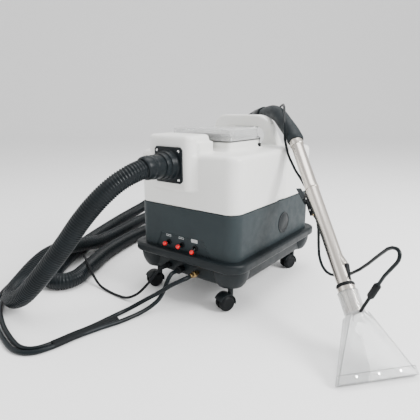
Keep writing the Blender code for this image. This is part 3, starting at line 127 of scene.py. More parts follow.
# %% [markdown]
# ## A smooth line through a few chosen points
#
# A hose is planned with a handful of points, as a fitter would mark where it has to pass. A
# Catmull-Rom curve goes through every one of them and bends evenly between. Walking along it in
# equal steps then gives places that a ribbed surface can be wrapped round.

# %% Routes
def smooth_line(points, steps=16):
    """A fine line through the chosen points."""
    route = [Vector(p) for p in points]
    ends = [route[0] * 2 - route[1]] + route + [route[-1] * 2 - route[-2]]
    fine = []
    for a, b, c, d in zip(ends, ends[1:], ends[2:], ends[3:]):
        for i in range(steps):
            t = i / steps
            fine.append(0.5 * (2 * b + (c - a) * t + (2 * a - 5 * b + 4 * c - d) * t * t
                               + (3 * b - a - 3 * c + d) * t ** 3))
    fine.append(route[-1])
    return fine


def line_length(line):
    return sum((b - a).length for a, b in zip(line, line[1:]))


def even_steps(line, step):
    """Places a fixed distance apart along a line, with the last on its end."""
    count = max(2, round(line_length(line) / step))
    step = line_length(line) / count
    places = [line[0].copy()]
    walked = 0.0
    for a, b in zip(line, line[1:]):
        piece = (b - a).length
        while piece > 0 and walked + piece >= step * len(places) and len(places) < count:
            places.append(a.lerp(b, (step * len(places) - walked) / piece))
        walked += piece
    places.append(line[-1].copy())
    return places


# %% [markdown]
# ## Two builders for round things
#
# Most of this machine is round: wheels, tubes, couplers, hoses. A turned part is a profile spun
# about its own axis. A swept part carries a ring along a line, and each ring may have its own
# radius, which is how ribs, tapers and cuffs are made. The rings keep their twist from step to
# step, so the surface never wrings itself out like a cloth.

# %% Turned and swept shapes
def spun(profile, steps=64, closed=False):
    """A profile of (radius, height) spun about Z. A closed profile makes a ring."""
    bm = bmesh.new()
    rings = []
    for radius, height in profile:
        if radius <= 0:
            rings.append([bm.verts.new((0, 0, height))])
        else:
            rings.append([bm.verts.new((radius * cos(2 * pi * i / steps), radius * sin(2 * pi * i / steps),
                                        height)) for i in range(steps)])
    pairs = list(zip(rings, rings[1:]))
    if closed:
        pairs.append((rings[-1], rings[0]))
    for one, two in pairs:
        for i in range(steps):
            corners = [one[i % len(one)], one[(i + 1) % len(one)], two[(i + 1) % len(two)], two[i % len(two)]]
            corners = list(dict.fromkeys(corners))
            if len(corners) > 2:
                bm.faces.new(corners)
    bmesh.ops.recalc_face_normals(bm, faces=bm.faces)
    return bm


def swept(places, radius, sides=24, flat=1.0):
    """A ring carried along places. Radius is a number, or a function of the step's number."""
    bm = bmesh.new()
    heading = (places[1] - places[0]).normalized()
    side = heading.cross(Vector((0, 0, 1)))
    side = side.normalized() if side.length > 0.01 else heading.orthogonal().normalized()
    rings = []
    for i, place in enumerate(places):
        ahead = places[min(i + 1, len(places) - 1)] - places[max(i - 1, 0)]
        ahead.normalize()
        side = (side - ahead * side.dot(ahead)).normalized()
        other = ahead.cross(side)
        r = radius(i) if callable(radius) else radius
        rings.append([bm.verts.new(place + side * (r * cos(2 * pi * k / sides))
                                   + other * (r * flat * sin(2 * pi * k / sides))) for k in range(sides)])
    for one, two in zip(rings, rings[1:]):
        for k in range(sides):
            bm.faces.new((one[k], one[(k + 1) % sides], two[(k + 1) % sides], two[k]))
    bm.faces.new(rings[0])
    bm.faces.new(rings[-1])
    bmesh.ops.recalc_face_normals(bm, faces=bm.faces)
    return bm


# %% [markdown]
# ## Putting a shape in the scene
#
# Every piece rides on a body of the frame, so that it moves when that body moves, and it hides the frame
# piece that it stands in for. One helper does all of this and also decides which edges stay crisp: below the
# given angle the surface is shaded as one smooth skin.

# %% Show a piece
MADE = []


def show(name, bm, material, body, replaces=(), at=None, crisp=35):
    """Turn a bmesh or a mesh into a piece that rides on a body."""
    if isinstance(bm, bpy.types.Mesh):
        data = bm
    else:
        data = bpy.data.meshes.new(name)
        bm.to_mesh(data)
        bm.free()
    data.materials.clear()
    data.materials.append(material)
    data.shade_smooth()
    data.set_sharp_from_angle(angle=radians(crisp))
    piece = bpy.data.objects.new(name, data)
    bpy.context.scene.collection.objects.link(piece)
    if at is not None:
        data.transform(at)
    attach(piece, body)
    if replaces:
        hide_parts(*replaces)
    MADE.append(name)
    return piece


def turned_to(direction, place):
    """A placing that points a shape's own Z along a direction."""
    return Matrix.Translation(place) @ Vector(direction).to_track_quat("Z", "Y").to_matrix().to_4x4()


# %% [markdown]
# ## Moulded plastic, rubber and metal as noise
#
# No real surface has one colour. Moulding leaves slow cloudy changes, a fine grain, and paler
# worn edges where hands and doorways rub. Three noises of different sizes give these: a slow
# one shifts the colour, a middle one changes how glossy the surface is, and a very fine one
# makes the bump. Metal tube is polished along or round its length, so for it the fine noise is
# stretched in one direction, which draws hairline scratches.

# %% Finishes
def noise(nodes, links, vector, scale, detail=3.0, rough=0.5):
    texture = nodes.new("ShaderNodeTexNoise")
    texture.inputs["Scale"].default_value = scale
    texture.inputs["Detail"].default_value = detail
    texture.inputs["Roughness"].default_value = rough
    links.new(vector, texture.inputs["Vector"])
    return texture.outputs["Fac"]


def spread(nodes, links, value, low, high, from_low=0.3, from_high=0.7):
    """Turn a noise into a number between low and high."""
    change = nodes.new("ShaderNodeMapRange")
    change.inputs["From Min"].default_value = from_low
    change.inputs["From Max"].default_value = from_high
    change.inputs["To Min"].default_value = low
    change.inputs["To Max"].default_value = high
    links.new(value, change.inputs["Value"])
    return change.outputs["Result"]


def tint(nodes, links, value, first, second, from_low=0.3, from_high=0.7):
    """Turn a noise into a colour between two colours."""
    ramp = nodes.new("ShaderNodeValToRGB")
    ramp.color_ramp.elements[0].position = from_low
    ramp.color_ramp.elements[1].position = from_high
    ramp.color_ramp.elements[0].color = (*first, 1.0)
    ramp.color_ramp.elements[1].color = (*second, 1.0)
    links.new(value, ramp.inputs["Fac"])
    return ramp.outputs["Color"]


def surface(name, colour, gloss, metal=0.0, shift=0.08, cloud=7.0, grain=700.0, depth=0.00006,
            waves=0.0, worn=None, stretch=None, turn=None, shine=0.5):
    """A finish: colour, roughness, how much it varies, its grain, and the colour of its worn edges."""
    material = bpy.data.materials.new(name)
    material.use_nodes = True
    nodes, links = material.node_tree.nodes, material.node_tree.links
    shader = nodes["Principled BSDF"]
    shader.inputs["Metallic"].default_value = metal
    shader.inputs["Specular IOR Level"].default_value = shine
    where = nodes.new("ShaderNodeTexCoord").outputs["Object"]
    along = where
    if stretch is not None:
        mapping = nodes.new("ShaderNodeMapping")
        mapping.vector_type = "TEXTURE"
        mapping.inputs["Rotation"].default_value = turn or (0, 0, 0)
        mapping.inputs["Scale"].default_value = stretch
        links.new(where, mapping.inputs["Vector"])
        along = mapping.outputs["Vector"]
    slow = noise(nodes, links, where, cloud, 4.0)
    dark = [c * (1 - shift) for c in colour]
    light = [min(1.0, c * (1 + shift)) for c in colour]
    tone = tint(nodes, links, slow, dark, light)
    if worn is not None:
        edge = nodes.new("ShaderNodeNewGeometry").outputs["Pointiness"]
        amount = spread(nodes, links, edge, 0.0, 0.35, 0.56, 0.70)
        blend = nodes.new("ShaderNodeMix")
        blend.data_type = "RGBA"
        links.new(amount, blend.inputs["Factor"])
        links.new(tone, blend.inputs["A"])
        blend.inputs["B"].default_value = (*worn, 1.0)
        tone = blend.outputs["Result"]
    links.new(tone, shader.inputs["Base Color"])
    middle = noise(nodes, links, along, cloud * 6, 5.0, 0.6)
    links.new(spread(nodes, links, middle, gloss * 0.85, gloss * 1.2), shader.inputs["Roughness"])
    fine = noise(nodes, links, along, grain, 2.0)
    bump = nodes.new("ShaderNodeBump")
    bump.inputs["Strength"].default_value = 0.6
    bump.inputs["Distance"].default_value = depth
    links.new(fine, bump.inputs["Height"])
    last = bump
    if waves:
        swell = nodes.new("ShaderNodeBump")
        swell.inputs["Strength"].default_value = 0.5
        swell.inputs["Distance"].default_value = waves
        links.new(noise(nodes, links, where, 16.0, 1.0), swell.inputs["Height"])
        links.new(bump.outputs["Normal"], swell.inputs["Normal"])
        last = swell
    links.new(last.outputs["Normal"], shader.inputs["Normal"])
    return material


# %% [markdown]
# ## The finishes of this machine
#
# The tank is blow-moulded white polyethylene: light enters it a little way, so it gets a touch
# of subsurface scattering and a slow waviness. The casing is a textured dark grey, the tray and
# the wheels a smoother black, the hoses a blue-black that picks up dust. The tube is stainless
# steel with hairlines along its length.

# %% Make the finishes
ALONG_WAND = WAND_TURN.to_euler()
white_tank = surface("white_polyethylene", (0.77, 0.77, 0.745), 0.34, shift=0.03, cloud=4.0, grain=420.0,
                     depth=0.00008, waves=0.0012, worn=(0.84, 0.84, 0.82))
white_tank.node_tree.nodes["Principled BSDF"].inputs["Subsurface Weight"].default_value = 0.22
white_tank.node_tree.nodes["Principled BSDF"].inputs["Subsurface Radius"].default_value = (1.0, 0.95, 0.85)
white_tank.node_tree.nodes["Principled BSDF"].inputs["Subsurface Scale"].default_value = 0.006
dark_casing = surface("textured_grey_casing", (0.0185, 0.0265, 0.0295), 0.50, shift=0.08, grain=900.0,
                      depth=0.00012, waves=0.0004, worn=(0.06, 0.07, 0.075), shine=0.22)
tray_black = surface("black_tray", (0.0060, 0.0090, 0.0105), 0.42, shift=0.12, grain=800.0, depth=0.00010,
                     worn=(0.03, 0.036, 0.04), shine=0.2)
rubber = surface("black_rubber", (0.0045, 0.0055, 0.0065), 0.52, shift=0.18, grain=600.0, depth=0.00010,
                 worn=(0.02, 0.022, 0.025), shine=0.14)
hose_black = surface("ribbed_hose_plastic", (0.0042, 0.0068, 0.0085), 0.34, shift=0.25, cloud=11.0,
                     grain=500.0, depth=0.00006, shine=0.17)
grip_grey = surface("soft_grip_plastic", (0.0085, 0.0125, 0.015), 0.50, shift=0.10, grain=1100.0,
                    depth=0.00016, worn=(0.03, 0.036, 0.04), shine=0.2)
steel = surface("brushed_stainless", (0.56, 0.52, 0.475), 0.27, metal=1.0, shift=0.05, cloud=5.0,
                grain=900.0, depth=0.00003, stretch=(1, 1, 60), turn=ALONG_WAND)
chrome = surface("bright_plated_metal", (0.74, 0.74, 0.73), 0.16, metal=1.0, shift=0.04, grain=300.0,
                 depth=0.00002)
brass = surface("turned_brass", (0.56, 0.37, 0.16), 0.28, metal=1.0, shift=0.12, cloud=60.0, grain=900.0,
                depth=0.00004)
red_cap = surface("red_vinyl_cap", (0.72, 0.004, 0.007), 0.30, shift=0.10, cloud=90.0, grain=900.0,
                  depth=0.00005)
natural = surface("natural_polypropylene", (0.60, 0.60, 0.55), 0.48, shift=0.05, grain=500.0,
                  depth=0.00006)
label_pale = surface("printed_label_vinyl", (0.62, 0.64, 0.64), 0.45, shift=0.05, cloud=120.0)
label_dark = surface("printed_label_ink", (0.02, 0.024, 0.026), 0.5, shift=0.1, cloud=120.0)
basket_steel = surface("perforated_basket_steel", (0.20, 0.20, 0.195), 0.40, metal=1.0, shift=0.15,
                       cloud=60.0, grain=700.0, depth=0.00005)
print("finishes:", len(bpy.data.materials))

# %% [markdown]
# ## Clear plastic
#
# A clear moulding shows itself mainly at its edges, where more plastic lies along the line of
# sight. Full refraction through thin walls turns muddy, so this finish is partly see-through
# when it faces the viewer and more solid and glossy at a glancing angle. A few fine scratches in
# the roughness keep it from looking like air.

# %% Clear finish
def clear(name, colour, facing_cover, edge_cover, gloss):
    """A clear plastic: how much of it shows when seen face on, and when seen edge on."""
    material = surface(name, colour, gloss, shift=0.03, cloud=12.0, grain=200.0, depth=0.00002, waves=0.0003)
    nodes, links = material.node_tree.nodes, material.node_tree.links
    shader = nodes["Principled BSDF"]
    shader.inputs["IOR"].default_value = 1.47
    shader.inputs["Transmission Weight"].default_value = 0.55
    glance = nodes.new("ShaderNodeLayerWeight")
    glance.inputs["Blend"].default_value = 0.35
    cover = spread(nodes, links, glance.outputs["Facing"], facing_cover, edge_cover, 0.0, 0.9)
    links.new(cover, shader.inputs["Alpha"])
    return material


clear_lid = clear("clear_lid_plastic", (0.86, 0.87, 0.87), 0.30, 0.85, 0.10)
clear_nozzle = clear("clear_nozzle_plastic", (0.72, 0.73, 0.73), 0.34, 0.95, 0.06)

SLOT_FINISH = {
    "white_shell": white_tank, "dark_shell": dark_casing, "tray_shell": tray_black,
    "clear_acrylic": clear_lid, "black_rubber": rubber, "hose_plastic": hose_black, "steel": steel,
    "bright_metal": chrome, "brass": brass, "red_plastic": red_cap, "grip_plastic": grip_grey,
    "natural_plastic": natural,
}

# %% [markdown]
# ## Dress the frame's own pieces
#
# Pieces whose shape is already right keep it. Their meshes come in as loose triangles, so a
# Weld joins the corners first, a narrow Bevel softens the machined edges so that they catch the
# light, and an Edge Split keeps the real corners crisp under smooth shading.

# %% Frame pieces
SOFTENED = {"caster_hood": 0.0008, "caster_wheel": 0.0006, "vent_cap": 0.0004, "switch_bezel": 0.0003,
            "brass_coupler": 0.0004, "feed_coupler": 0.0004, "spray_valve": 0.0007, "wand_cuff": 0.0006,
            "socket_band": 0.0004, "jet_connector": 0.0004, "trigger_lever": 0.0004}
for name, node in frame["nodes"].items():
    finish = SLOT_FINISH[node.material_slots[0].material.name.split(".")[0]]
    if name == "lint_basket":
        finish = basket_steel
    for material_slot in node.material_slots:
        material_slot.material = finish
    for extra in ("custom_normal", "sharp_edge", "sharp_face"):
        if extra in node.data.attributes:
            node.data.attributes.remove(node.data.attributes[extra])
    weld = node.modifiers.new("weld", "WELD")
    weld.merge_threshold = 0.00001
    width = next((w for start, w in SOFTENED.items() if name.startswith(start)), None)
    if width:
        soften = node.modifiers.new("soften", "BEVEL")
        soften.width = width
        soften.segments = 2
        soften.limit_method = "ANGLE"
        soften.angle_limit = radians(40)
    split = node.modifiers.new("crisp", "EDGE_SPLIT")
    split.split_angle = radians(32)
print("dressed", len(frame["nodes"]), "frame pieces")

# %% [markdown]
# ## The vacuum hose
#
# The suction hose is a spiral-ribbed tube 56 mm across and about five and a half metres long.
# Ribs could be painted on with a bump, but they show against the light at the hose's outline,
# so here they are real: four rings to each rib, two on the crest and two in the valley. It
# leaves the flange level, falls to the floor, turns back on itself and runs off behind the
# machine, where it climbs to the wand's grip.

# %% Vacuum hose
HOSE_RADIUS = 0.028
HOSE_LAY = HOSE_RADIUS + 0.0008
VACUUM_ROUTE = [
    (-0.030, -0.3456, 0.4355), (-0.030, -0.382, 0.4355), (-0.041, -0.425, 0.422), (-0.064, -0.462, 0.396),
    (-0.096, -0.496, 0.354), (-0.132, -0.526, 0.300), (-0.168, -0.552, 0.240), (-0.208, -0.580, 0.178),
    (-0.252, -0.606, 0.118), (-0.302, -0.622, 0.068), (-0.360, -0.622, 0.041), (-0.416, -0.596, 0.035),
    (-0.459, -0.543, 0.044), (-0.482, -0.480, 0.071), (-0.498, -0.418, 0.089), (-0.518, -0.340, 0.089),
    (-0.552, -0.235, 0.068), (-0.592, -0.135, 0.042), (-0.640, -0.020, 0.030), (-0.690, 0.130, HOSE_LAY),
    (-0.735, 0.270, HOSE_LAY), (-0.755, 0.400, HOSE_LAY), (-0.725, 0.530, HOSE_LAY),
    (-0.620, 0.595, HOSE_LAY), (-0.510, 0.560, HOSE_LAY), (-0.465, 0.460, HOSE_LAY),
    (-0.500, 0.370, HOSE_LAY), (-0.545, 0.280, HOSE_LAY), (-0.570, 0.180, HOSE_LAY),
    (-0.558, 0.050, HOSE_LAY), (-0.525, -0.070, HOSE_LAY), (-0.480, -0.190, HOSE_LAY),
    (-0.428, -0.285, HOSE_LAY), (-0.392, -0.351, HOSE_LAY), (-0.372, -0.390, HOSE_LAY),
    (-0.370, -0.427, HOSE_LAY), (-0.388, -0.452, HOSE_LAY), (-0.418, -0.460, HOSE_LAY),
    (-0.449, -0.446, HOSE_LAY), (-0.484, -0.406, HOSE_LAY), (-0.542, -0.333, HOSE_LAY),
    (-0.602, -0.240, HOSE_LAY), (-0.658, -0.140, HOSE_LAY), (-0.712, -0.035, HOSE_LAY),
    (-0.765, 0.075, HOSE_LAY), (-0.815, 0.180, HOSE_LAY), (-0.855, 0.290, 0.033), (-0.875, 0.390, 0.045),
    (-0.875, 0.480, 0.068), (-0.845, 0.560, 0.100), (-0.770, 0.610, 0.150), (-0.670, 0.625, 0.215),
    (-0.560, 0.600, 0.290), (-0.450, 0.550, 0.370), (-0.345, 0.495, 0.440), (-0.250, 0.443, 0.499),
    (-0.165, 0.385, 0.537), (-0.1088, 0.3362, 0.5552), (-0.0756, 0.3066, 0.5611)]

def on_floor_plan(route):
    """A whole route, measured from the middle of the machine."""
    return [on_machine(p) for p in route]


vacuum_line = smooth_line(on_floor_plan(VACUUM_ROUTE))
RIB_PITCH = 0.0074
rib_places = even_steps(vacuum_line, RIB_PITCH / 4)
RIB_RADII = (HOSE_RADIUS, HOSE_RADIUS, HOSE_RADIUS - 0.0021, HOSE_RADIUS - 0.0021)
vacuum_hose = show("ribbed_vacuum_hose", swept(rib_places, lambda i: RIB_RADII[i % 4], sides=22),
                   hose_black, "machine", ("vacuum_hose",), crisp=80)
even_steps(vacuum_line, 0.02)
print("vacuum hose", round(line_length(vacuum_line), 3), "m,", len(rib_places) // 4, "ribs")

# %% [markdown]
# ## The two solution hoses
#
# Two thin hoses carry solution. They leave their couplers straight, drop to the floor and run
# side by side round the back. A curve with a round bevel is the simplest honest way to make a
# smooth hose: the line is its real centre, and the bevel its real thickness.

# %% Solution hoses
SOLUTION_RADIUS = 0.0065
SOLUTION_LAY = SOLUTION_RADIUS + 0.0003
FEED_ROUTE = [
    (-0.010, -0.2851, 0.104), (-0.010, -0.3005, 0.1036), (-0.0106, -0.3150, 0.094), (-0.0136, -0.3255, 0.072),
    (-0.0167, -0.3363, 0.051), (-0.0189, -0.3556, 0.033), (-0.0272, -0.3802, 0.019),
    (-0.0366, -0.4117, 0.010),
    (-0.0451, -0.4467, SOLUTION_LAY), (-0.052, -0.485, SOLUTION_LAY),
    (-0.066, -0.530, SOLUTION_LAY), (-0.083, -0.600, SOLUTION_LAY),
    (-0.092, -0.668, SOLUTION_LAY), (-0.112, -0.714, SOLUTION_LAY), (-0.158, -0.734, SOLUTION_LAY),
    (-0.230, -0.724, SOLUTION_LAY), (-0.319, -0.699, SOLUTION_LAY), (-0.419, -0.655, SOLUTION_LAY),
    (-0.509, -0.586, SOLUTION_LAY), (-0.580, -0.497, SOLUTION_LAY), (-0.638, -0.420, SOLUTION_LAY),
    (-0.676, -0.333, SOLUTION_LAY), (-0.715, -0.200, SOLUTION_LAY), (-0.792, 0.000, SOLUTION_LAY),
    (-0.862, 0.160, SOLUTION_LAY), (-0.930, 0.330, SOLUTION_LAY), (-0.955, 0.500, SOLUTION_LAY),
    (-0.930, 0.660, SOLUTION_LAY), (-0.840, 0.790, SOLUTION_LAY), (-0.700, 0.855, SOLUTION_LAY),
    (-0.540, 0.865, SOLUTION_LAY), (-0.380, 0.830, SOLUTION_LAY), (-0.260, 0.760, SOLUTION_LAY),
    (-0.190, 0.685, 0.010), (-0.160, 0.625, 0.035), (-0.155, 0.580, 0.095), (-0.158, 0.540, 0.190),
    (-0.165, 0.510, 0.300), (-0.172, 0.485, 0.400), (-0.168, 0.455, 0.480), (-0.140, 0.415, 0.532),
    (-0.100, 0.3780, 0.5525), (-0.0512, 0.3342, 0.5617)]
SECOND_ROUTE = [
    (0.050, -0.2871, 0.104), (0.0495, -0.303, 0.1035), (0.040, -0.320, 0.0985), (0.0215, -0.334, 0.087),
    (-0.0004, -0.3453, 0.070), (-0.0228, -0.3599, 0.053), (-0.0456, -0.3791, 0.037),
    (-0.0764, -0.4179, 0.014),
    (-0.088, -0.450, 0.0075),
    (-0.0905, -0.490, SOLUTION_LAY), (-0.0925, -0.540, SOLUTION_LAY), (-0.100, -0.600, SOLUTION_LAY),
    (-0.1075, -0.662, SOLUTION_LAY), (-0.124, -0.7015, SOLUTION_LAY), (-0.160, -0.717, SOLUTION_LAY),
    (-0.226, -0.708, SOLUTION_LAY), (-0.312, -0.684, SOLUTION_LAY), (-0.411, -0.641, SOLUTION_LAY),
    (-0.499, -0.573, SOLUTION_LAY), (-0.568, -0.486, SOLUTION_LAY), (-0.624, -0.412, SOLUTION_LAY),
    (-0.661, -0.327, SOLUTION_LAY), (-0.701, -0.194, SOLUTION_LAY), (-0.777, 0.006, SOLUTION_LAY),
    (-0.848, 0.166, SOLUTION_LAY), (-0.914, 0.333, SOLUTION_LAY), (-0.938, 0.498, SOLUTION_LAY),
    (-0.915, 0.652, SOLUTION_LAY), (-0.832, 0.774, SOLUTION_LAY), (-0.700, 0.8362, SOLUTION_LAY),
    (-0.620, 0.8502, SOLUTION_LAY)]


def round_cord(name, line, radius, material, replaces, sides=5):
    """A smooth round cord with closed ends, as one open spline."""
    curve = bpy.data.curves.new(name, "CURVE")
    curve.dimensions = "3D"
    curve.bevel_depth = radius
    curve.bevel_resolution = sides
    curve.use_fill_caps = True
    spline = curve.splines.new("POLY")
    spline.points.add(len(line) - 1)
    for point, spot in zip(spline.points, line):
        point.co = (*spot, 1.0)
    spline.use_smooth = True
    curve.materials.append(material)
    cord = bpy.data.objects.new(name, curve)
    bpy.context.scene.collection.objects.link(cord)
    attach(cord, "machine")
    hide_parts(*replaces)
    MADE.append(name)
    return cord


feed_line = even_steps(smooth_line(on_floor_plan(FEED_ROUTE)), 0.010)
second_line = even_steps(smooth_line(on_floor_plan(SECOND_ROUTE)), 0.010)
feed_cord = round_cord("solution_feed_hose", feed_line, SOLUTION_RADIUS, hose_black,
                       ("solution_hose_1",))
second_cord = round_cord("solution_return_hose", second_line, SOLUTION_RADIUS, hose_black,
                         ("solution_hose_2",))

# %% [markdown]
# ## The joint behind the machine
#
# The second hose doesn't reach the wand: it joins the first at a moulded Y piece. Its three
# arms are short swept cuffs that overlap the hoses, thick in the middle and thin at the lips.

# %% Y joiner
join_at = min(range(len(feed_line)), key=lambda i: (feed_line[i] - second_line[-1]).length)
joiner_run = [p + Vector((0, 0, 0.0022)) for p in feed_line[join_at - 3:join_at + 4]]
JOINER_SWELLS = (0.0010, 0.0018, 0.0022, 0.0024, 0.0022, 0.0018, 0.0010)
ARM_SWELLS = (0.0008, 0.0014, 0.0018, 0.0020, 0.0020)
joiner = swept(joiner_run, lambda i: SOLUTION_RADIUS + JOINER_SWELLS[i], sides=20)
y_joiner = show("y_joiner", joiner, rubber, "machine")
meeting = second_line[-1].lerp(feed_line[join_at], 0.6)
arm_line = [p + Vector((0, 0, 0.0020)) for p in second_line[-4:] + [meeting]]
y_arm = show("y_joiner_arm", swept(arm_line, lambda i: SOLUTION_RADIUS + ARM_SWELLS[i], sides=20), rubber,
             "machine")
print("solution hoses", round(line_length(feed_line), 3), round(line_length(second_line), 3), "m")

# %% [markdown]
# ## The mains lead
#
# The lead is the thinnest cord, 8.6 mm across. A metre and a bit of it runs over the floor and
# under the hoses; the other four metres are put away as a neat coil of twelve turns, three
# across and four high, behind the machine. Each turn is a circle for most of its way. Near its
# end it slips sideways into the next lane, or, after the third, up on to the next layer. The
# sideways slip comes first and the climb after it, so the turns never cut through each other.

# %% Mains lead
MAINS_RADIUS = 0.0043
MAINS_LAY = MAINS_RADIUS + 0.0003
MAINS_ROUTE = [
    (-0.066, -0.256, 0.104), (-0.066, -0.285, 0.104), (-0.068, -0.312, 0.092), (-0.079, -0.340, 0.063),
    (-0.103, -0.360, 0.032), (-0.140, -0.370, 0.011), (-0.185, -0.371, MAINS_LAY),
    (-0.240, -0.368, MAINS_LAY), (-0.290, -0.362, 0.010), (-0.335, -0.353, 0.033), (-0.372, -0.343, 0.059),
    (-0.410, -0.326, 0.068), (-0.450, -0.302, 0.060), (-0.482, -0.268, 0.028), (-0.505, -0.222, 0.008),
    (-0.532, -0.150, MAINS_LAY), (-0.567, -0.065, MAINS_LAY), (-0.600, 0.030, MAINS_LAY),
    (-0.630, 0.130, MAINS_LAY), (-0.661, 0.225, MAINS_LAY), (-0.688, 0.300, 0.006), (-0.700, 0.355, 0.009),
    (-0.7018, 0.400, 0.012)]
COIL_MIDDLE = Vector((-0.63, 0.40, 0.0))
LANES = (0.043, 0.052, 0.061)
LANE_ORDER = (2, 1, 0, 0, 1, 2, 2, 1, 0, 0, 1, 2)
LAYER = 0.0090
COIL_FOOT = MAINS_RADIUS + 0.0005
STEPS_PER_TURN = 36


def eased(t):
    t = min(1.0, max(0.0, t))
    return t * t * (3 - 2 * t)


def coil_places():
    """The turns, clockwise from the side where the lead comes in."""
    places = []
    for turn, lane in enumerate(LANE_ORDER):
        here, layer = LANES[lane], turn // 3
        last = turn == len(LANE_ORDER) - 1
        onward = 0.0718 if last else LANES[LANE_ORDER[turn + 1]]
        climb = 0 if last else (turn + 1) // 3 - layer
        for i in range(STEPS_PER_TURN):
            share = i / STEPS_PER_TURN
            radius = here + (onward - here) * eased((share - 0.66) / 0.17)
            height = COIL_FOOT + LAYER * (layer + climb * eased((share - 0.84) / 0.16))
            if turn == 0:
                radius += (0.0718 - here) * (1 - eased(share / 0.22))
                height += (0.012 - COIL_FOOT) * (1 - eased(share / 0.22))
            angle = pi - 2 * pi * share
            places.append(COIL_MIDDLE + Vector((radius * cos(angle), radius * sin(angle), height)))
    return places


tail = [(-0.7018, 0.400, 0.0318), (-0.6990, 0.4205, 0.0285), (-0.6895, 0.4400, 0.0225),
        (-0.6766, 0.4555, 0.0160), (-0.6600, 0.4685, 0.0120), (-0.6430, 0.4775, 0.0105),
        (-0.6330, 0.4803, 0.0103), (-0.6240, 0.4803, 0.0103)]
mains_points = smooth_line(MAINS_ROUTE)[:-1] + coil_places() + smooth_line(tail, 6)
mains_line = [on_machine(p) for p in mains_points]
mains_lead = round_cord("mains_lead", mains_line, MAINS_RADIUS, rubber,
                        ("mains_cord", "mains_coil"), sides=4)

# %% [markdown]
# ## The plug
#
# The plug's grip is moulded in one with the lead. Its body starts as a block with generously
# rounded edges and is pinched where the fingers hold it; the relief is a swept taper with
# four rings; the blades are plated metal.

# %% Plug
def rounded_block(low, high, corner, top=0.0, bottom=0.0, steps=10):
    """A block between two corners with rounded uprights and rounded rims."""
    low, high = Vector(low), Vector(high)
    size = high - low
    bm = bmesh.new()
    bmesh.ops.create_cube(bm, size=1.0)
    bmesh.ops.scale(bm, vec=size, verts=bm.verts)
    if corner:
        upright = [e for e in bm.edges if abs(e.verts[0].co.z - e.verts[1].co.z) > size.z / 2]
        bmesh.ops.bevel(bm, geom=upright, offset=corner, segments=steps, profile=0.5, affect="EDGES",
                        clamp_overlap=True)
    for height, radius in ((size.z / 2, top), (-size.z / 2, bottom)):
        if radius:
            rim = [e for e in bm.edges if all(abs(v.co.z - height) < 1e-6 for v in e.verts)]
            bmesh.ops.bevel(bm, geom=rim, offset=radius, segments=4, profile=0.5, affect="EDGES",
                            clamp_overlap=True)
    bmesh.ops.translate(bm, vec=(low + high) / 2, verts=bm.verts)
    return bm


plug_y, plug_z = 0.4803, 0.0103
plug_start = -0.626
plug_low = (plug_start + 0.018, plug_y - 0.013, plug_z - 0.010)
plug_high = (plug_start + 0.054, plug_y + 0.013, plug_z + 0.010)
plug_shape = rounded_block(plug_low, plug_high, 0.006, 0.004, 0.003, steps=5)
bmesh.ops.subdivide_edges(plug_shape, edges=[e for e in plug_shape.edges
                                             if abs(e.verts[0].co.x - e.verts[1].co.x) > 0.015], cuts=6)
for vert in plug_shape.verts:
    along = (vert.co.x - plug_low[0]) / 0.036
    pinch = 1 - 0.18 * sin(pi * min(1.0, max(0.0, along)))
    vert.co.y = plug_y + (vert.co.y - plug_y) * pinch
plug = show("plug_body", plug_shape, rubber, "machine", ("mains_plug",),
            at=MACHINE)
relief_line = [on_machine((plug_start + 0.020 * i / 16, plug_y, plug_z)) for i in range(17)]


def relief_radius(i):
    """It widens towards the plug, with a groove at every fourth place."""
    return 0.0052 + 0.00014 * i - (0.0008 if i % 4 == 1 else 0)


plug_relief = show("plug_relief", swept(relief_line, relief_radius, sides=20), rubber, "machine")
plug_face = plug_start + 0.054
blades = bmesh.new()
for side in (-1, 1):
    blade = rounded_block((plug_face - 0.001, plug_y + side * 0.0064 - 0.0008, plug_z + 0.0005),
                          (plug_face + 0.017, plug_y + side * 0.0064 + 0.0008, plug_z + 0.0068), 0.0005)
    spare = bpy.data.meshes.new("blade")
    blade.to_mesh(spare)
    blades.from_mesh(spare)
    blade.free()
plug_blades = show("plug_blades", blades, chrome, "machine", at=MACHINE)
earth = spun([(0, 0.020), (0.0016, 0.0195), (0.0024, 0.017), (0.0024, -0.001), (0, -0.001)], 20)
plug_pin = show("plug_earth_pin", earth, chrome, "machine",
                at=turned_to((1, 0, 0), on_machine((plug_face, plug_y, plug_z - 0.0055))))

# %% [markdown]
# ## Strain relief
#
# Where the lead leaves the machine it would snap if it could bend sharply, so a soft taper
# grips it: stiff at the gland, bendy at the tip. Its rings are what lets it flex.

# %% Strain relief
lead_start = even_steps(smooth_line(on_floor_plan(MAINS_ROUTE[:4])), 0.001)
relief_part = lead_start[14:46]
relief = swept(relief_part, lambda i: 0.0082 - 0.000085 * i - (0.0011 if i % 5 > 2 else 0), sides=24)
lead_relief = show("lead_strain_relief", relief, rubber, "machine")
print("mains lead", round(line_length(mains_line), 3), "m in", len(LANE_ORDER), "turns and a run")

# %% [markdown]
# ## Carving shapes
#
# A moulding is planned as solids added together and hollows taken away. The boolean modifier
# does both. Its newer manifold solver is quick even on dense meshes, as long as every solid is
# closed, and all of these are. After carving, the result is frozen into plain mesh.

# %% Carve
def loose(name, bm):
    data = bpy.data.meshes.new(name)
    bm.to_mesh(data)
    bm.free()
    solid = bpy.data.objects.new(name, data)
    bpy.context.scene.collection.objects.link(solid)
    return solid


def frozen(solid):
    """The solid's mesh with its modifiers used up."""
    bpy.context.view_layer.update()
    graph = bpy.context.evaluated_depsgraph_get()
    return bpy.data.meshes.new_from_object(solid.evaluated_get(graph))


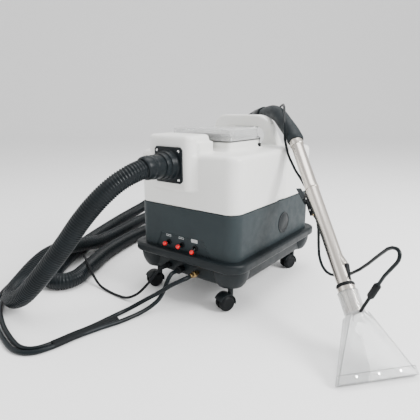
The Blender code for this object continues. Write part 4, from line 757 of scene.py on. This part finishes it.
def carved(bm, steps, after=None):
    """A mesh made from a first solid and a list of ('UNION' or 'DIFFERENCE', solid) steps."""
    base = loose("base", bm)
    helpers = []
    for operation, other in steps:
        helper = loose("helper", other)
        helpers.append(helper)
        step = base.modifiers.new(operation, "BOOLEAN")
        step.operation = operation
        step.solver = "MANIFOLD"
        step.object = helper
    if after is not None:
        after(base)
    data = frozen(base)
    for used in helpers + [base]:
        bpy.data.objects.remove(used)
    return data


def from_mesh(data):
    bm = bmesh.new()
    bm.from_mesh(data)
    return bm


def placed(bm, at):
    bmesh.ops.transform(bm, matrix=at, verts=bm.verts)
    return bm


def prism(loop, low, high, axis="Z"):
    """A solid with straight sides from a closed outline. Axis Y stands the outline upright."""
    bm = bmesh.new()
    rings = []
    for level in (low, high):
        rings.append([bm.verts.new((x, y, level) if axis == "Z" else (x, level, y)) for x, y in loop])
    bm.faces.new(rings[0])
    bm.faces.new(rings[1])
    for i in range(len(loop)):
        j = (i + 1) % len(loop)
        bm.faces.new((rings[0][i], rings[0][j], rings[1][j], rings[1][i]))
    bmesh.ops.recalc_face_normals(bm, faces=bm.faces)
    return bm


# %% [markdown]
# ## The white tank
#
# The tank is one hollow blow-moulding: a body, a boss that carries the hose flange, the filling
# neck and the carrying handle. Blow-moulding can't hold sharp edges, so every meeting of two
# shapes is a soft fillet. Drawing each fillet by hand would take all day. Instead the plain
# solids are piled together, a voxel remesh melts them into one skin of 3 mm squares, and a
# smoothing pass rounds what the mould would round. The hollows are carved out afterwards, so
# their edges stay clean.

# %% Tank
HALF_WIDTH, HALF_DEPTH = 0.189, 0.2545
TANK_FOOT, TANK_TOP, TANK_WALL = 0.3028, 0.470, 0.005


def arc_points(x, y, radius, start, end, count):
    angles = [radians(start + (end - start) * i / count) for i in range(count + 1)]
    return [(x + radius * cos(a), y + radius * sin(a)) for a in angles]


handle_outside = [(-0.150, 0.462)] + arc_points(-0.102, 0.526, 0.048, 180, 90, 12)
handle_outside += arc_points(0.028, 0.504, 0.070, 90, 35, 12) + [(0.126, 0.462)]
handle_inside = arc_points(-0.076, 0.512, 0.022, 180, 90, 10) + arc_points(0.030, 0.500, 0.034, 90, -10, 12)
handle_inside += arc_points(0.042, 0.484, 0.012, -20, -90, 6) + arc_points(-0.088, 0.482, 0.010, 270, 180, 6)


def tank_skin():
    """The outside of the tank: solids melted together."""
    channel = rounded_block((HALF_WIDTH - 0.0034, -0.004, TANK_FOOT - 0.01),
                            (HALF_WIDTH + 0.02, 0.046, TANK_TOP + 0.01), 0.002)
    finger_gap = prism(handle_inside, 0.09, 0.17, "Y")
    arch = carved(prism(handle_outside, 0.110, 0.150, "Y"), [("DIFFERENCE", finger_gap)])
    body = carved(rounded_block((-HALF_WIDTH, -HALF_DEPTH, TANK_FOOT), (HALF_WIDTH, HALF_DEPTH, TANK_TOP),
                                0.040, 0.016), [("DIFFERENCE", channel)])
    boss = rounded_block((-0.120, -0.280, 0.356), (0.048, -0.172, 0.522), 0.024, 0.012, 0.009)
    flare = prism([(-0.05, -0.276), (0.034, -0.276), (0.047, -0.266), (0.066, -0.246), (0.066, -0.20),
                   (-0.05, -0.20)], 0.362, 0.462)
    shelf = prism([(-0.05, -0.270), (0.030, -0.270), (0.056, -0.240), (0.058, -0.178), (-0.05, -0.178)],
                  0.45, 0.502)
    neck = rounded_block((-0.135, -0.162, 0.462), (0.105, 0.026, 0.4985), 0.014, 0.002)
    skirt = rounded_block((-0.141, -0.168, 0.460), (0.111, 0.032, 0.4775), 0.018, 0.006)
    pile = from_mesh(arch)
    pile.from_mesh(body)
    for solid in (boss, flare, shelf, neck, skirt):
        spare = bpy.data.meshes.new("spare")
        solid.to_mesh(spare)
        pile.from_mesh(spare)
        solid.free()
    melted = loose("pile", pile)
    melt = melted.modifiers.new("melt", "REMESH")
    melt.mode = "VOXEL"
    melt.voxel_size = 0.0028
    soften = melted.modifiers.new("soften", "SMOOTH")
    soften.factor = 0.5
    soften.iterations = 9
    data = frozen(melted)
    bpy.data.objects.remove(melted)
    return data


tank_hollows = [
    ("DIFFERENCE", rounded_block((-0.184, -0.2495, TANK_FOOT + TANK_WALL),
                                 (0.184, 0.2495, TANK_TOP - TANK_WALL), 0.035, 0.011)),
    ("DIFFERENCE", rounded_block((-0.115, -0.275, 0.361), (0.043, -0.155, 0.517), 0.019)),
    ("DIFFERENCE", rounded_block((-0.130, -0.157, 0.45), (0.100, 0.021, 0.52), 0.009)),
    ("DIFFERENCE", placed(spun([(0, 0.02), (0.031, 0.02), (0.031, -0.02), (0, -0.02)]),
                          turned_to((0, -1, 0), (-0.030, -0.280, 0.4355)))),
    ("DIFFERENCE", placed(spun([(0, 0.02), (0.0213, 0.02), (0.0213, -0.02), (0, -0.02)]),
                          Matrix.Translation((0.075, -0.115, TANK_FOOT)))),
]
tank = show("moulded_tank", carved(from_mesh(tank_skin()), tank_hollows), white_tank, "machine",
            ("tank_body",), at=MACHINE, crisp=50)
print("tank faces", len(tank.data.polygons))

# %% [markdown]
# ## The dark casing
#
# The casing is an injection moulding with a shallow sloped recess round the switches. The
# recess is cut with a shape that is a little larger at the face than at its floor, which is the
# draft that lets a real moulding leave its tool.

# %% Casing
CASING_FRONT = -0.2555


def recess():
    deep = [(-0.092, 0.2095), (-0.1185, 0.150), (0.1085, 0.150), (0.0745, 0.2095)]
    wide = [(-0.095, 0.2130), (-0.1235, 0.150), (0.1135, 0.150), (0.0770, 0.2130)]
    bm = bmesh.new()
    back = [bm.verts.new((x, CASING_FRONT + 0.003, z)) for x, z in deep]
    front = [bm.verts.new((x, CASING_FRONT - 0.001, z)) for x, z in wide]
    bm.faces.new(back)
    bm.faces.new(front)
    for i in range(4):
        j = (i + 1) % 4
        bm.faces.new((back[i], back[j], front[j], front[i]))
    bmesh.ops.recalc_face_normals(bm, faces=bm.faces)
    return bm


SWITCH_XS = (-0.0628, -0.0086, 0.0445)
SWITCH_Z = 0.183
casing_steps = [("DIFFERENCE", rounded_block((-0.185, -0.2505, 0.14), (0.185, 0.2505, 0.2975), 0.035)),
                ("DIFFERENCE", recess()),
                ("DIFFERENCE", placed(spun([(0, 0.01), (0.0333, 0.01), (0.0333, -0.01), (0, -0.01)]),
                                      turned_to((1, 0, 0), (0.190, 0.0415, 0.223)))),
                ("DIFFERENCE", placed(spun([(0, 0.02), (0.0213, 0.02), (0.0213, -0.02), (0, -0.02)]),
                                      Matrix.Translation((0.075, -0.115, 0.30))))]
for x in SWITCH_XS:
    switch_hole = spun([(0, 0.006), (0.0063, 0.006), (0.0063, -0.012), (0, -0.012)], 24)
    hole_turn = turned_to((0, -1, 0), (x, CASING_FRONT, SWITCH_Z))
    casing_steps.append(("DIFFERENCE", placed(switch_hole, hole_turn)))
casing_block = rounded_block((-0.190, -0.2555, 0.157), (0.190, 0.2555, 0.3025), 0.040, 0.0016, steps=14)
show("moulded_casing", carved(casing_block, casing_steps), dark_casing, "machine",
     ("motor_casing",), at=MACHINE, crisp=25)

# %% [markdown]
# ## Labels
#
# Above each switch is a small printed vinyl label. They are kept generic: two pairs of little
# framed squares and one plate with plain dashes, with no words.

# %% Labels
LABEL_FACE = CASING_FRONT + 0.003


def frame_outline(x, z, half_x, half_z, line):
    """A small square frame lying on the recess's floor."""
    bm = bmesh.new()
    outside = [(-half_x, -half_z), (half_x, -half_z), (half_x, half_z), (-half_x, half_z)]
    inside = [(-half_x + line, -half_z + line), (half_x - line, -half_z + line),
              (half_x - line, half_z - line), (-half_x + line, half_z - line)]
    rings = [[bm.verts.new((x + px, LABEL_FACE - level, z + pz)) for px, pz in loop]
             for level in (0.00002, 0.0003) for loop in (outside, inside)]
    for i in range(4):
        j = (i + 1) % 4
        bm.faces.new((rings[2][i], rings[2][j], rings[3][j], rings[3][i]))
        bm.faces.new((rings[0][i], rings[0][j], rings[2][j], rings[2][i]))
        bm.faces.new((rings[1][i], rings[1][j], rings[3][j], rings[3][i]))
        bm.faces.new((rings[0][i], rings[0][j], rings[1][j], rings[1][i]))
    bmesh.ops.recalc_face_normals(bm, faces=bm.faces)
    return bm


def gather(shapes):
    """Several loose shapes in one bmesh."""
    heap = bmesh.new()
    for shape in shapes:
        spare = bpy.data.meshes.new("spare")
        shape.to_mesh(spare)
        heap.from_mesh(spare)
        shape.free()
    return heap


squares = [frame_outline(centre + step, 0.2045, 0.0042, 0.0032, 0.0009)
           for centre in (-0.0640, -0.0120) for step in (-0.0052, 0.0052)]
plate = rounded_block((0.0285, LABEL_FACE - 0.0003, 0.1995), (0.0525, LABEL_FACE - 0.00002, 0.2100), 0)
show("switch_labels", gather(squares + [plate]), label_pale, "machine",
     at=MACHINE)
dashes = []
for row in range(3):
    for column in range(5):
        left = 0.0300 + column * 0.0044
        low = 0.2010 + row * 0.0029
        dashes.append(rounded_block((left, LABEL_FACE - 0.00042, low), (left + 0.0030, LABEL_FACE - 0.0003,
                                                                        low + 0.0012), 0))
show("label_dashes", gather(dashes), label_dark, "machine", at=MACHINE)

# %% [markdown]
# ## The tray
#
# The machine stands in a black tray. Its thick rim works as a bumper, its tub holds the motor,
# and a bulge over each caster spreads the load. The rim's edges are rounded with four steps,
# which is enough for the long highlight that runs round the machine.

# %% Tray
PAD = [(0, 0.140), (0.058, 0.140), (0.0575, 0.130), (0.056, 0.118), (0.053, 0.105), (0.046, 0.089),
       (0.040, 0.0815), (0.034, 0.079), (0, 0.079)]
tray_steps = [("UNION", rounded_block((-0.185, -0.2505, 0.082), (0.185, 0.2505, 0.141), 0.040, 0, 0.012))]
for x in (-0.148, 0.148):
    for y in (-0.212, 0.212):
        tray_steps.append(("UNION", placed(spun(PAD), Matrix.Translation((x, y, 0)))))
tray_steps.append(("DIFFERENCE", rounded_block((-0.177, -0.2425, 0.090), (0.177, 0.2425, 0.33), 0.032)))
tray_steps.append(("DIFFERENCE", rounded_block((-0.1903, -0.2558, 0.1567), (0.1903, 0.2558, 0.33), 0.0403,
                                               steps=14)))
for i in range(5):
    start = -0.145 + i * 0.015
    slot_cut = rounded_block((0.045, start, 0.07), (0.105, start + 0.006, 0.1), 0.002, steps=3)
    tray_steps.append(("DIFFERENCE", slot_cut))
tray_block = rounded_block((-0.215, -0.2805, 0.137), (0.215, 0.2805, 0.1645), 0.055, 0.007, 0.007, steps=14)
show("moulded_tray", carved(tray_block, tray_steps), tray_black, "machine",
     ("chassis_tray",), at=MACHINE, crisp=30)

# %% [markdown]
# ## The clear lid
#
# The lid is a clear dome with a flat lip, hinged at the back. It rides on its own body, so it
# opens with the frame's joint. The dome's rim is rounded, since that edge is what one sees of
# clear plastic.

# %% Lid
LID_BASE = 0.5016
lid_steps = [
    ("UNION", rounded_block((-0.129, -0.156, LID_BASE + 0.002), (0.099, 0.020, 0.538), 0.014, 0.007)),
    ("UNION", rounded_block((-0.070, 0.024, LID_BASE), (0.045, 0.041, LID_BASE + 0.007), 0.002)),
    ("DIFFERENCE", rounded_block((-0.126, -0.153, LID_BASE - 0.02), (0.096, 0.017, 0.535), 0.011, 0.005)),
    ("DIFFERENCE", placed(spun([(0, 0.09), (0.0026, 0.09), (0.0026, -0.09), (0, -0.09)], 20),
                          turned_to((1, 0, 0), (-0.0125, 0.035, LID_BASE + 0.0035)))),
]
show("clear_lid", carved(rounded_block((-0.137, -0.164, LID_BASE), (0.107, 0.028, LID_BASE + 0.006), 0.014,
                                       0.0012), lid_steps),
     clear_lid, "lid", ("lid",), at=MACHINE, crisp=30)

# %% [markdown]
# ## The hose flange
#
# A square plate with clipped corners is screwed to the boss, and a stepped spigot stands out of
# it. The smooth cuff that slips over the last step belongs to the hose: its lip is rolled and
# its far end grips the first ribs.

# %% Flange and cuffs
SPIGOT = (-0.030, 0.4355)
half, clip = 0.053, 0.008
corners = [(half, half - clip), (half - clip, half), (-half + clip, half), (-half, half - clip),
           (-half, -half + clip), (-half + clip, -half), (half - clip, -half), (half, -half + clip)]
plate_shape = prism([(SPIGOT[0] + x, SPIGOT[1] + z) for x, z in corners], -0.2853, -0.2803, "Y")
rims = [e for e in plate_shape.edges if all(abs(v.co.y + 0.2853) < 1e-5 for v in e.verts)]
bmesh.ops.bevel(plate_shape, geom=rims, offset=0.0012, segments=3, profile=0.5, affect="EDGES")
spigot_profile = [(0.022, 0.062), (0.0330, 0.062), (0.0335, 0.0612), (0.0335, 0.0420), (0.0370, 0.0408),
                  (0.0375, 0.0398), (0.0375, 0.0245), (0.0410, 0.0232), (0.0415, 0.0222), (0.0415, 0.0075),
                  (0.0430, 0.0045), (0.0460, 0.0028), (0.0460, 0.0000), (0.022, 0.0000)]
spigot = placed(spun(spigot_profile, closed=True), turned_to((0, -1, 0), (SPIGOT[0], -0.2828, SPIGOT[1])))
bore = placed(spun([(0, 0.07), (0.022, 0.07), (0.022, -0.01), (0, -0.01)]),
              turned_to((0, -1, 0), (SPIGOT[0], -0.2828, SPIGOT[1])))
show("flange_and_spigot", carved(plate_shape, [("DIFFERENCE", bore), ("UNION", spigot)]), hose_black,
     "machine", ("hose_flange",), at=MACHINE, crisp=30)
cuff_line = [on_machine((SPIGOT[0], -0.3290, SPIGOT[1]))] + [
    p for p in even_steps(vacuum_line, 0.004)[:11]]
CUFF_RADII = (0.0344, 0.0350, 0.0350, 0.0346, 0.0332, 0.0332, 0.0344, 0.0344, 0.0340, 0.0336, 0.0330, 0.0306)
show("hose_cuff", swept(cuff_line, lambda i: CUFF_RADII[i], sides=48), hose_black, "machine")

# %% [markdown]
# ## The grip
#
# The wand ends in a curved grip that swallows the tube and leads to the hose. It is a swept
# tube of one radius with a rolled lip at the tube's end, which is where the hand stops.

# %% Grip
GRIP_ROUTE = ((-0.009, -0.008), (0.0, 0.0), (0.030, 0.018), (0.085, 0.043), (0.147, 0.070),
              (0.200, 0.079), (0.246, 0.077), (0.300, 0.070))
TUBE_END = 0.728


def grip_place(out, up):
    """A place on the wand, given level towards the back and upwards from the tube's top."""
    reach = Vector((RISE.x, RISE.y)).length
    return WAND @ Vector((0, RISE.z * out - reach * up, TUBE_END + reach * out + RISE.z * up))


grip_line = even_steps(smooth_line([grip_place(out, up) for out, up in GRIP_ROUTE]), 0.005)


def grip_radius(i):
    lip = (0.0240, 0.0258, 0.0262, 0.0258)
    return lip[i] if i < 4 else 0.0255


show("curved_grip", swept(grip_line, grip_radius, sides=48), grip_grey, "wand",
     ("wand_grip",))

# %% [markdown]
# ## The clear nozzle
#
# The nozzle is a clear fan. Two flat walls narrow from a wide slot up to the neck, a sleeve
# holds the steel socket, and a thicker bar with three bolts stiffens the mouth. It is built as
# the real one is: an outer shape, less the passage inside, plus sleeve and bar.

# %% Nozzle
NOZZLE_WIDTH, NOZZLE_MOUTH, NOZZLE_NECK, WALL = 0.204, 0.014, 0.150, 0.003


def fan(inset, low, high, round_edge=0.0):
    """A flat funnel from the mouth to the neck."""
    bm = bmesh.new()
    neck = 0.049 - 2 * inset
    levels = ((low, NOZZLE_WIDTH - 2 * inset, NOZZLE_MOUTH - 2 * inset), (high, neck, neck))
    rings = [[bm.verts.new((sx * w / 2, sy * d / 2, z)) for sx, sy in ((-1, -1), (1, -1), (1, 1), (-1, 1))]
             for z, w, d in levels]
    bm.faces.new(rings[0])
    bm.faces.new(rings[1])
    sides = []
    for i in range(4):
        j = (i + 1) % 4
        bm.faces.new((rings[0][i], rings[0][j], rings[1][j], rings[1][i]))
        sides.append(bm.edges.get((rings[0][i], rings[1][i])))
    if round_edge:
        bmesh.ops.bevel(bm, geom=sides, offset=round_edge, segments=4, profile=0.5, affect="EDGES")
    bmesh.ops.recalc_face_normals(bm, faces=bm.faces)
    return bm


nozzle_steps = [
    ("UNION", spun([(0, 0.210), (0.0254, 0.210), (0.0258, 0.2094), (0.0258, 0.128), (0, 0.118)], 64)),
    ("UNION", rounded_block((-0.098, -0.0115, 0.0), (0.098, -0.006, 0.020), 0.0012, 0.0012, steps=3)),
    ("DIFFERENCE", fan(WALL, -0.002, NOZZLE_NECK + 0.002)),
    ("DIFFERENCE", spun([(0, 0.24), (0.0228, 0.24), (0.0228, 0.156), (0.0185, 0.151), (0.0185, 0.138),
                         (0, 0.130)], 64)),
]
show("clear_nozzle", carved(fan(0.0, 0.0, NOZZLE_NECK, 0.0025), nozzle_steps), clear_nozzle, "wand",
     ("nozzle_head",), at=WAND, crisp=30)
# Grey rods along the nozzle's edges, round its collar and over its throat are painted shade: they stand in
# for the darkening that clear plastic shows at its edges.
edge_shade_finish = surface("clear_plastic_painted_edge_shade", (0.20, 0.205, 0.205), 0.12, shift=0.25, cloud=60.0, grain=200.0)
painted_shade_rods = []
for sx in (-1, 1):
    for sy in (-1, 1):
        mouth = Vector((sx * (NOZZLE_WIDTH / 2 - 0.0014), sy * (NOZZLE_MOUTH / 2 - 0.0014), 0.001))
        neck_corner = Vector((sx * 0.0231, sy * 0.0231, NOZZLE_NECK - 0.001))
        painted_shade_rods.append(swept([mouth.lerp(neck_corner, i / 12) for i in range(13)], 0.0009, sides=10))
for height, depth in ((0.0006, -0.0108), (0.0196, -0.0108), (0.0006, 0.0062)):
    ends = Vector((-0.0975, depth, height)), Vector((0.0975, depth, height))
    painted_shade_rods.append(swept([ends[0].lerp(ends[1], i / 8) for i in range(9)], 0.0008, sides=10))
collar_ring = spun([(0.0259, 0.2086), (0.0259, 0.2100), (0.0248, 0.2100), (0.0248, 0.2086)], 64, closed=True)
throat_angles = [pi * i / 24 for i in range(25)]
throat = [Vector((0.0245 * cos(a), -0.0245, 0.131 + 0.0200 * sin(a))) for a in throat_angles]
painted_shade_rods.append(swept(throat, 0.0009, sides=10))
painted_shade_rods.append(collar_ring)
show("nozzle_painted_edge_shade", gather(painted_shade_rods), edge_shade_finish, "wand", at=WAND)
bolts = []
for x in (-0.055, 0.0, 0.055):
    head = spun([(0, 0.0022), (0.0026, 0.0020), (0.0034, 0.0010), (0.0034, -0.001), (0, -0.001)], 24)
    bolts.append(placed(head, turned_to((0, -1, 0), (x, -0.0115, 0.0125))))
show("nozzle_bolts", gather(bolts), chrome, "wand", at=WAND)

# %% [markdown]
# ## The tube's flare and catch
#
# Low on the tube the steel swells on one side and a black catch sits in the swelling: pressing
# it lets the nozzle's socket go. The swelling is a strip of tube pushed outwards in a smooth
# hump; the catch is a wedge, thick at the top.

# %% Flare and catch
def bulge(low, high, radius, out, spread_angle, rise_to, steps=20):
    """A patch of tube surface that stands out in a hump. Rise_to is where the hump is highest."""
    bm = bmesh.new()
    middle = -pi / 4
    rows = []
    for i in range(steps + 1):
        height = low + (high - low) * i / steps
        if height < rise_to:
            climb = eased((height - low) / (rise_to - low))
        else:
            climb = eased((high - height) / (high - rise_to))
        row = []
        for k in range(steps + 1):
            angle = middle + spread_angle * (k / steps - 0.5)
            hump = out * climb * max(0.0, cos(pi * (k / steps - 0.5))) ** 0.7
            r = radius + hump
            row.append((bm.verts.new((r * cos(angle), r * sin(angle), height)),
                        bm.verts.new(((radius - 0.003) * cos(angle), (radius - 0.003) * sin(angle), height))))
        rows.append(row)
    for one, two in zip(rows, rows[1:]):
        for k in range(steps):
            bm.faces.new((one[k][0], one[k + 1][0], two[k + 1][0], two[k][0]))
            bm.faces.new((one[k][1], two[k][1], two[k + 1][1], one[k + 1][1]))
        for k in (0, steps):
            bm.faces.new((one[k][0], two[k][0], two[k][1], one[k][1]))
    for row in (rows[0], rows[-1]):
        for k in range(steps):
            bm.faces.new((row[k][0], row[k][1], row[k + 1][1], row[k + 1][0]))
    bmesh.ops.recalc_face_normals(bm, faces=bm.faces)
    return bm


show("tube_flare", bulge(0.276, 0.312, 0.0191, 0.0060, 1.5, 0.280), steel, "wand", at=WAND)
show("tube_catch", bulge(0.236, 0.281, 0.0192, 0.0078, 1.0, 0.2795), rubber, "wand", at=WAND)
ring = spun([(0.0202, 0.533), (0.0205, 0.5322), (0.0205, 0.5290), (0.0202, 0.5282), (0.0190, 0.5282),
             (0.0190, 0.533)], 64, closed=True)
show("tube_joint_ring", ring, steel, "wand", at=WAND)

# %% [markdown]
# ## Small metal on the spray valve
#
# The valve has two cross screws on its side and a brass nut on each hose stub. They are tiny,
# but they are the bright points that make the dark valve readable.

# %% Valve details
VALVE_AT, VALVE_MIDDLE = 0.505, 0.0311
screws = []
for height in (VALVE_AT - 0.028, VALVE_AT + 0.012):
    for side in (-1, 1):
        head = spun([(0, 0.0018), (0.0022, 0.0016), (0.0030, 0.0006), (0.0030, -0.001), (0, -0.001)], 20)
        screws.append(placed(head, turned_to((side, 0, 0), (side * 0.011, VALVE_MIDDLE, height))))
show("valve_screws", gather(screws), chrome, "wand", at=WAND)
nuts = []
for height in (VALVE_AT + 0.0305, VALVE_AT - 0.0475):
    nut = spun([(0, 0.005), (0.0072, 0.005), (0.0076, 0.0045), (0.0076, 0.0005), (0.0072, 0), (0, 0)], 6)
    nuts.append(placed(nut, Matrix.Translation((0, VALVE_MIDDLE, height))))
show("valve_nuts", gather(nuts), brass, "wand", at=WAND)

# %% [markdown]
# ## The lid's wire catch
#
# A bent black wire at the lid's right side keeps it shut.

# %% Wire catch
wire = [on_machine(p) for p in ((0.1075, -0.012, 0.5065), (0.1078, -0.002, 0.5068), (0.1080, 0.004, 0.5050),
                                (0.1082, 0.006, 0.4980), (0.1082, 0.006, 0.4900), (0.1082, 0.007, 0.4790))]
show("lid_wire_catch", swept(even_steps(smooth_line(wire), 0.002), 0.0011, sides=10), rubber, "machine")
catch_foot = rounded_block((0.1046, 0.001, 0.4745), (0.1096, 0.014, 0.4860), 0.0012, 0.0008, 0.0008, steps=3)
show("lid_catch_foot", catch_foot, rubber, "machine", at=MACHINE)

# %% [markdown]
# ## Sleeve round the solution hoses
#
# In front of the machine a stretch of woven sleeve keeps the two thin hoses together. It is
# swept along the line midway between them, wider than it is high.

# %% Hose sleeve
sleeve_start, sleeve_end = on_machine((-0.072, -0.470, 0)), on_machine((-0.100, -0.660, 0))
sleeve_line = [sleeve_start.lerp(sleeve_end, i / 40) for i in range(41)]
sleeve_middle = []
for spot in sleeve_line:
    near_feed = min(feed_line, key=lambda p: (p - spot).length)
    near_second = min(second_line, key=lambda p: (p - spot).length)
    sleeve_middle.append((near_feed + near_second) / 2)
sleeve_middle = [p + Vector((0, 0, 0.0014)) for p in sleeve_middle]
woven = surface("woven_sleeve", (0.0055, 0.0070, 0.0080), 0.60, shift=0.30, cloud=180.0, grain=1500.0,
                depth=0.0004, shine=0.15)
smooth_middle = even_steps(smooth_line(sleeve_middle[::5]), 0.0025)
end_at = len(smooth_middle) - 1


def sleeve_radius(i):
    """The weave stands out at every other place, and both ends are drawn in."""
    return 0.0150 + (0.0004 if i % 2 else 0) - (0.0008 if i in (0, end_at) else 0)


show("hose_sleeve", swept(smooth_middle, sleeve_radius, sides=28, flat=0.52), woven, "machine")
print("sleeve", round(line_length(smooth_middle), 3), "m")

# %% [markdown]
# ## Studio
#
# The floor is a plain pale sweep. One large soft light from the right stands in for a window,
# a weaker one fills the front left, and the pale surroundings do the rest.

# %% Floor and lights
floor_mesh = bmesh.new()
rows = []
for i in range(13):
    back = 7.0 + 2.5 * sin(pi / 2 * i / 12)
    height = 2.5 - 2.5 * cos(pi / 2 * i / 12)
    rows.append((back, height))
outline_rows = [(-7.0, 0.0)] + rows + [(9.5, 8.0)]
turn = Matrix.Rotation(VIEW_AZIMUTH, 4, "Z")
previous = None
for back, height in outline_rows:
    pair = [floor_mesh.verts.new(turn @ Vector((side * 12.0, back, height))) for side in (-1, 1)]
    if previous:
        floor_mesh.faces.new((previous[0], previous[1], pair[1], pair[0]))
    previous = pair
floor_data = bpy.data.meshes.new("studio_floor")
floor_mesh.to_mesh(floor_data)
floor_mesh.free()
floor_data.shade_smooth()
floor_data.materials.append(surface("pale_floor", (0.95, 0.95, 0.95), 0.8, shift=0.005, cloud=2.0, shine=0.1))
floor = bpy.data.objects.new("studio_floor", floor_data)
bpy.context.scene.collection.objects.link(floor)
floor.location.z = -0.0005


def soft_light(name, place, aim, size, power, colour=(1, 1, 1)):
    data = bpy.data.lights.new(name, "AREA")
    data.shape = "DISK"
    data.size = size
    data.energy = power
    data.color = colour
    light = bpy.data.objects.new(name, data)
    light.location = place
    light.rotation_euler = (Vector(place) - Vector(aim)).to_track_quat("Z", "Y").to_euler()
    bpy.context.scene.collection.objects.link(light)


soft_light("key", (2.9, 0.3, 2.3), (0, 0, 0.3), 1.6, 190)
soft_light("fill", (-2.2, -2.6, 1.8), (0, 0, 0.3), 2.2, 22)
soft_light("top", (0.0, 0.4, 3.4), (0, 0, 0.2), 2.6, 95)
world = bpy.data.worlds.new("pale_room")
world.use_nodes = True
world.node_tree.nodes["Background"].inputs["Color"].default_value = (1.0, 1.0, 1.0, 1.0)
world.node_tree.nodes["Background"].inputs["Strength"].default_value = 1.1
bpy.context.scene.world = world

# %% [markdown]
# ## Finish
#
# The number of pieces made is printed.


print("pieces made:", len(MADE))
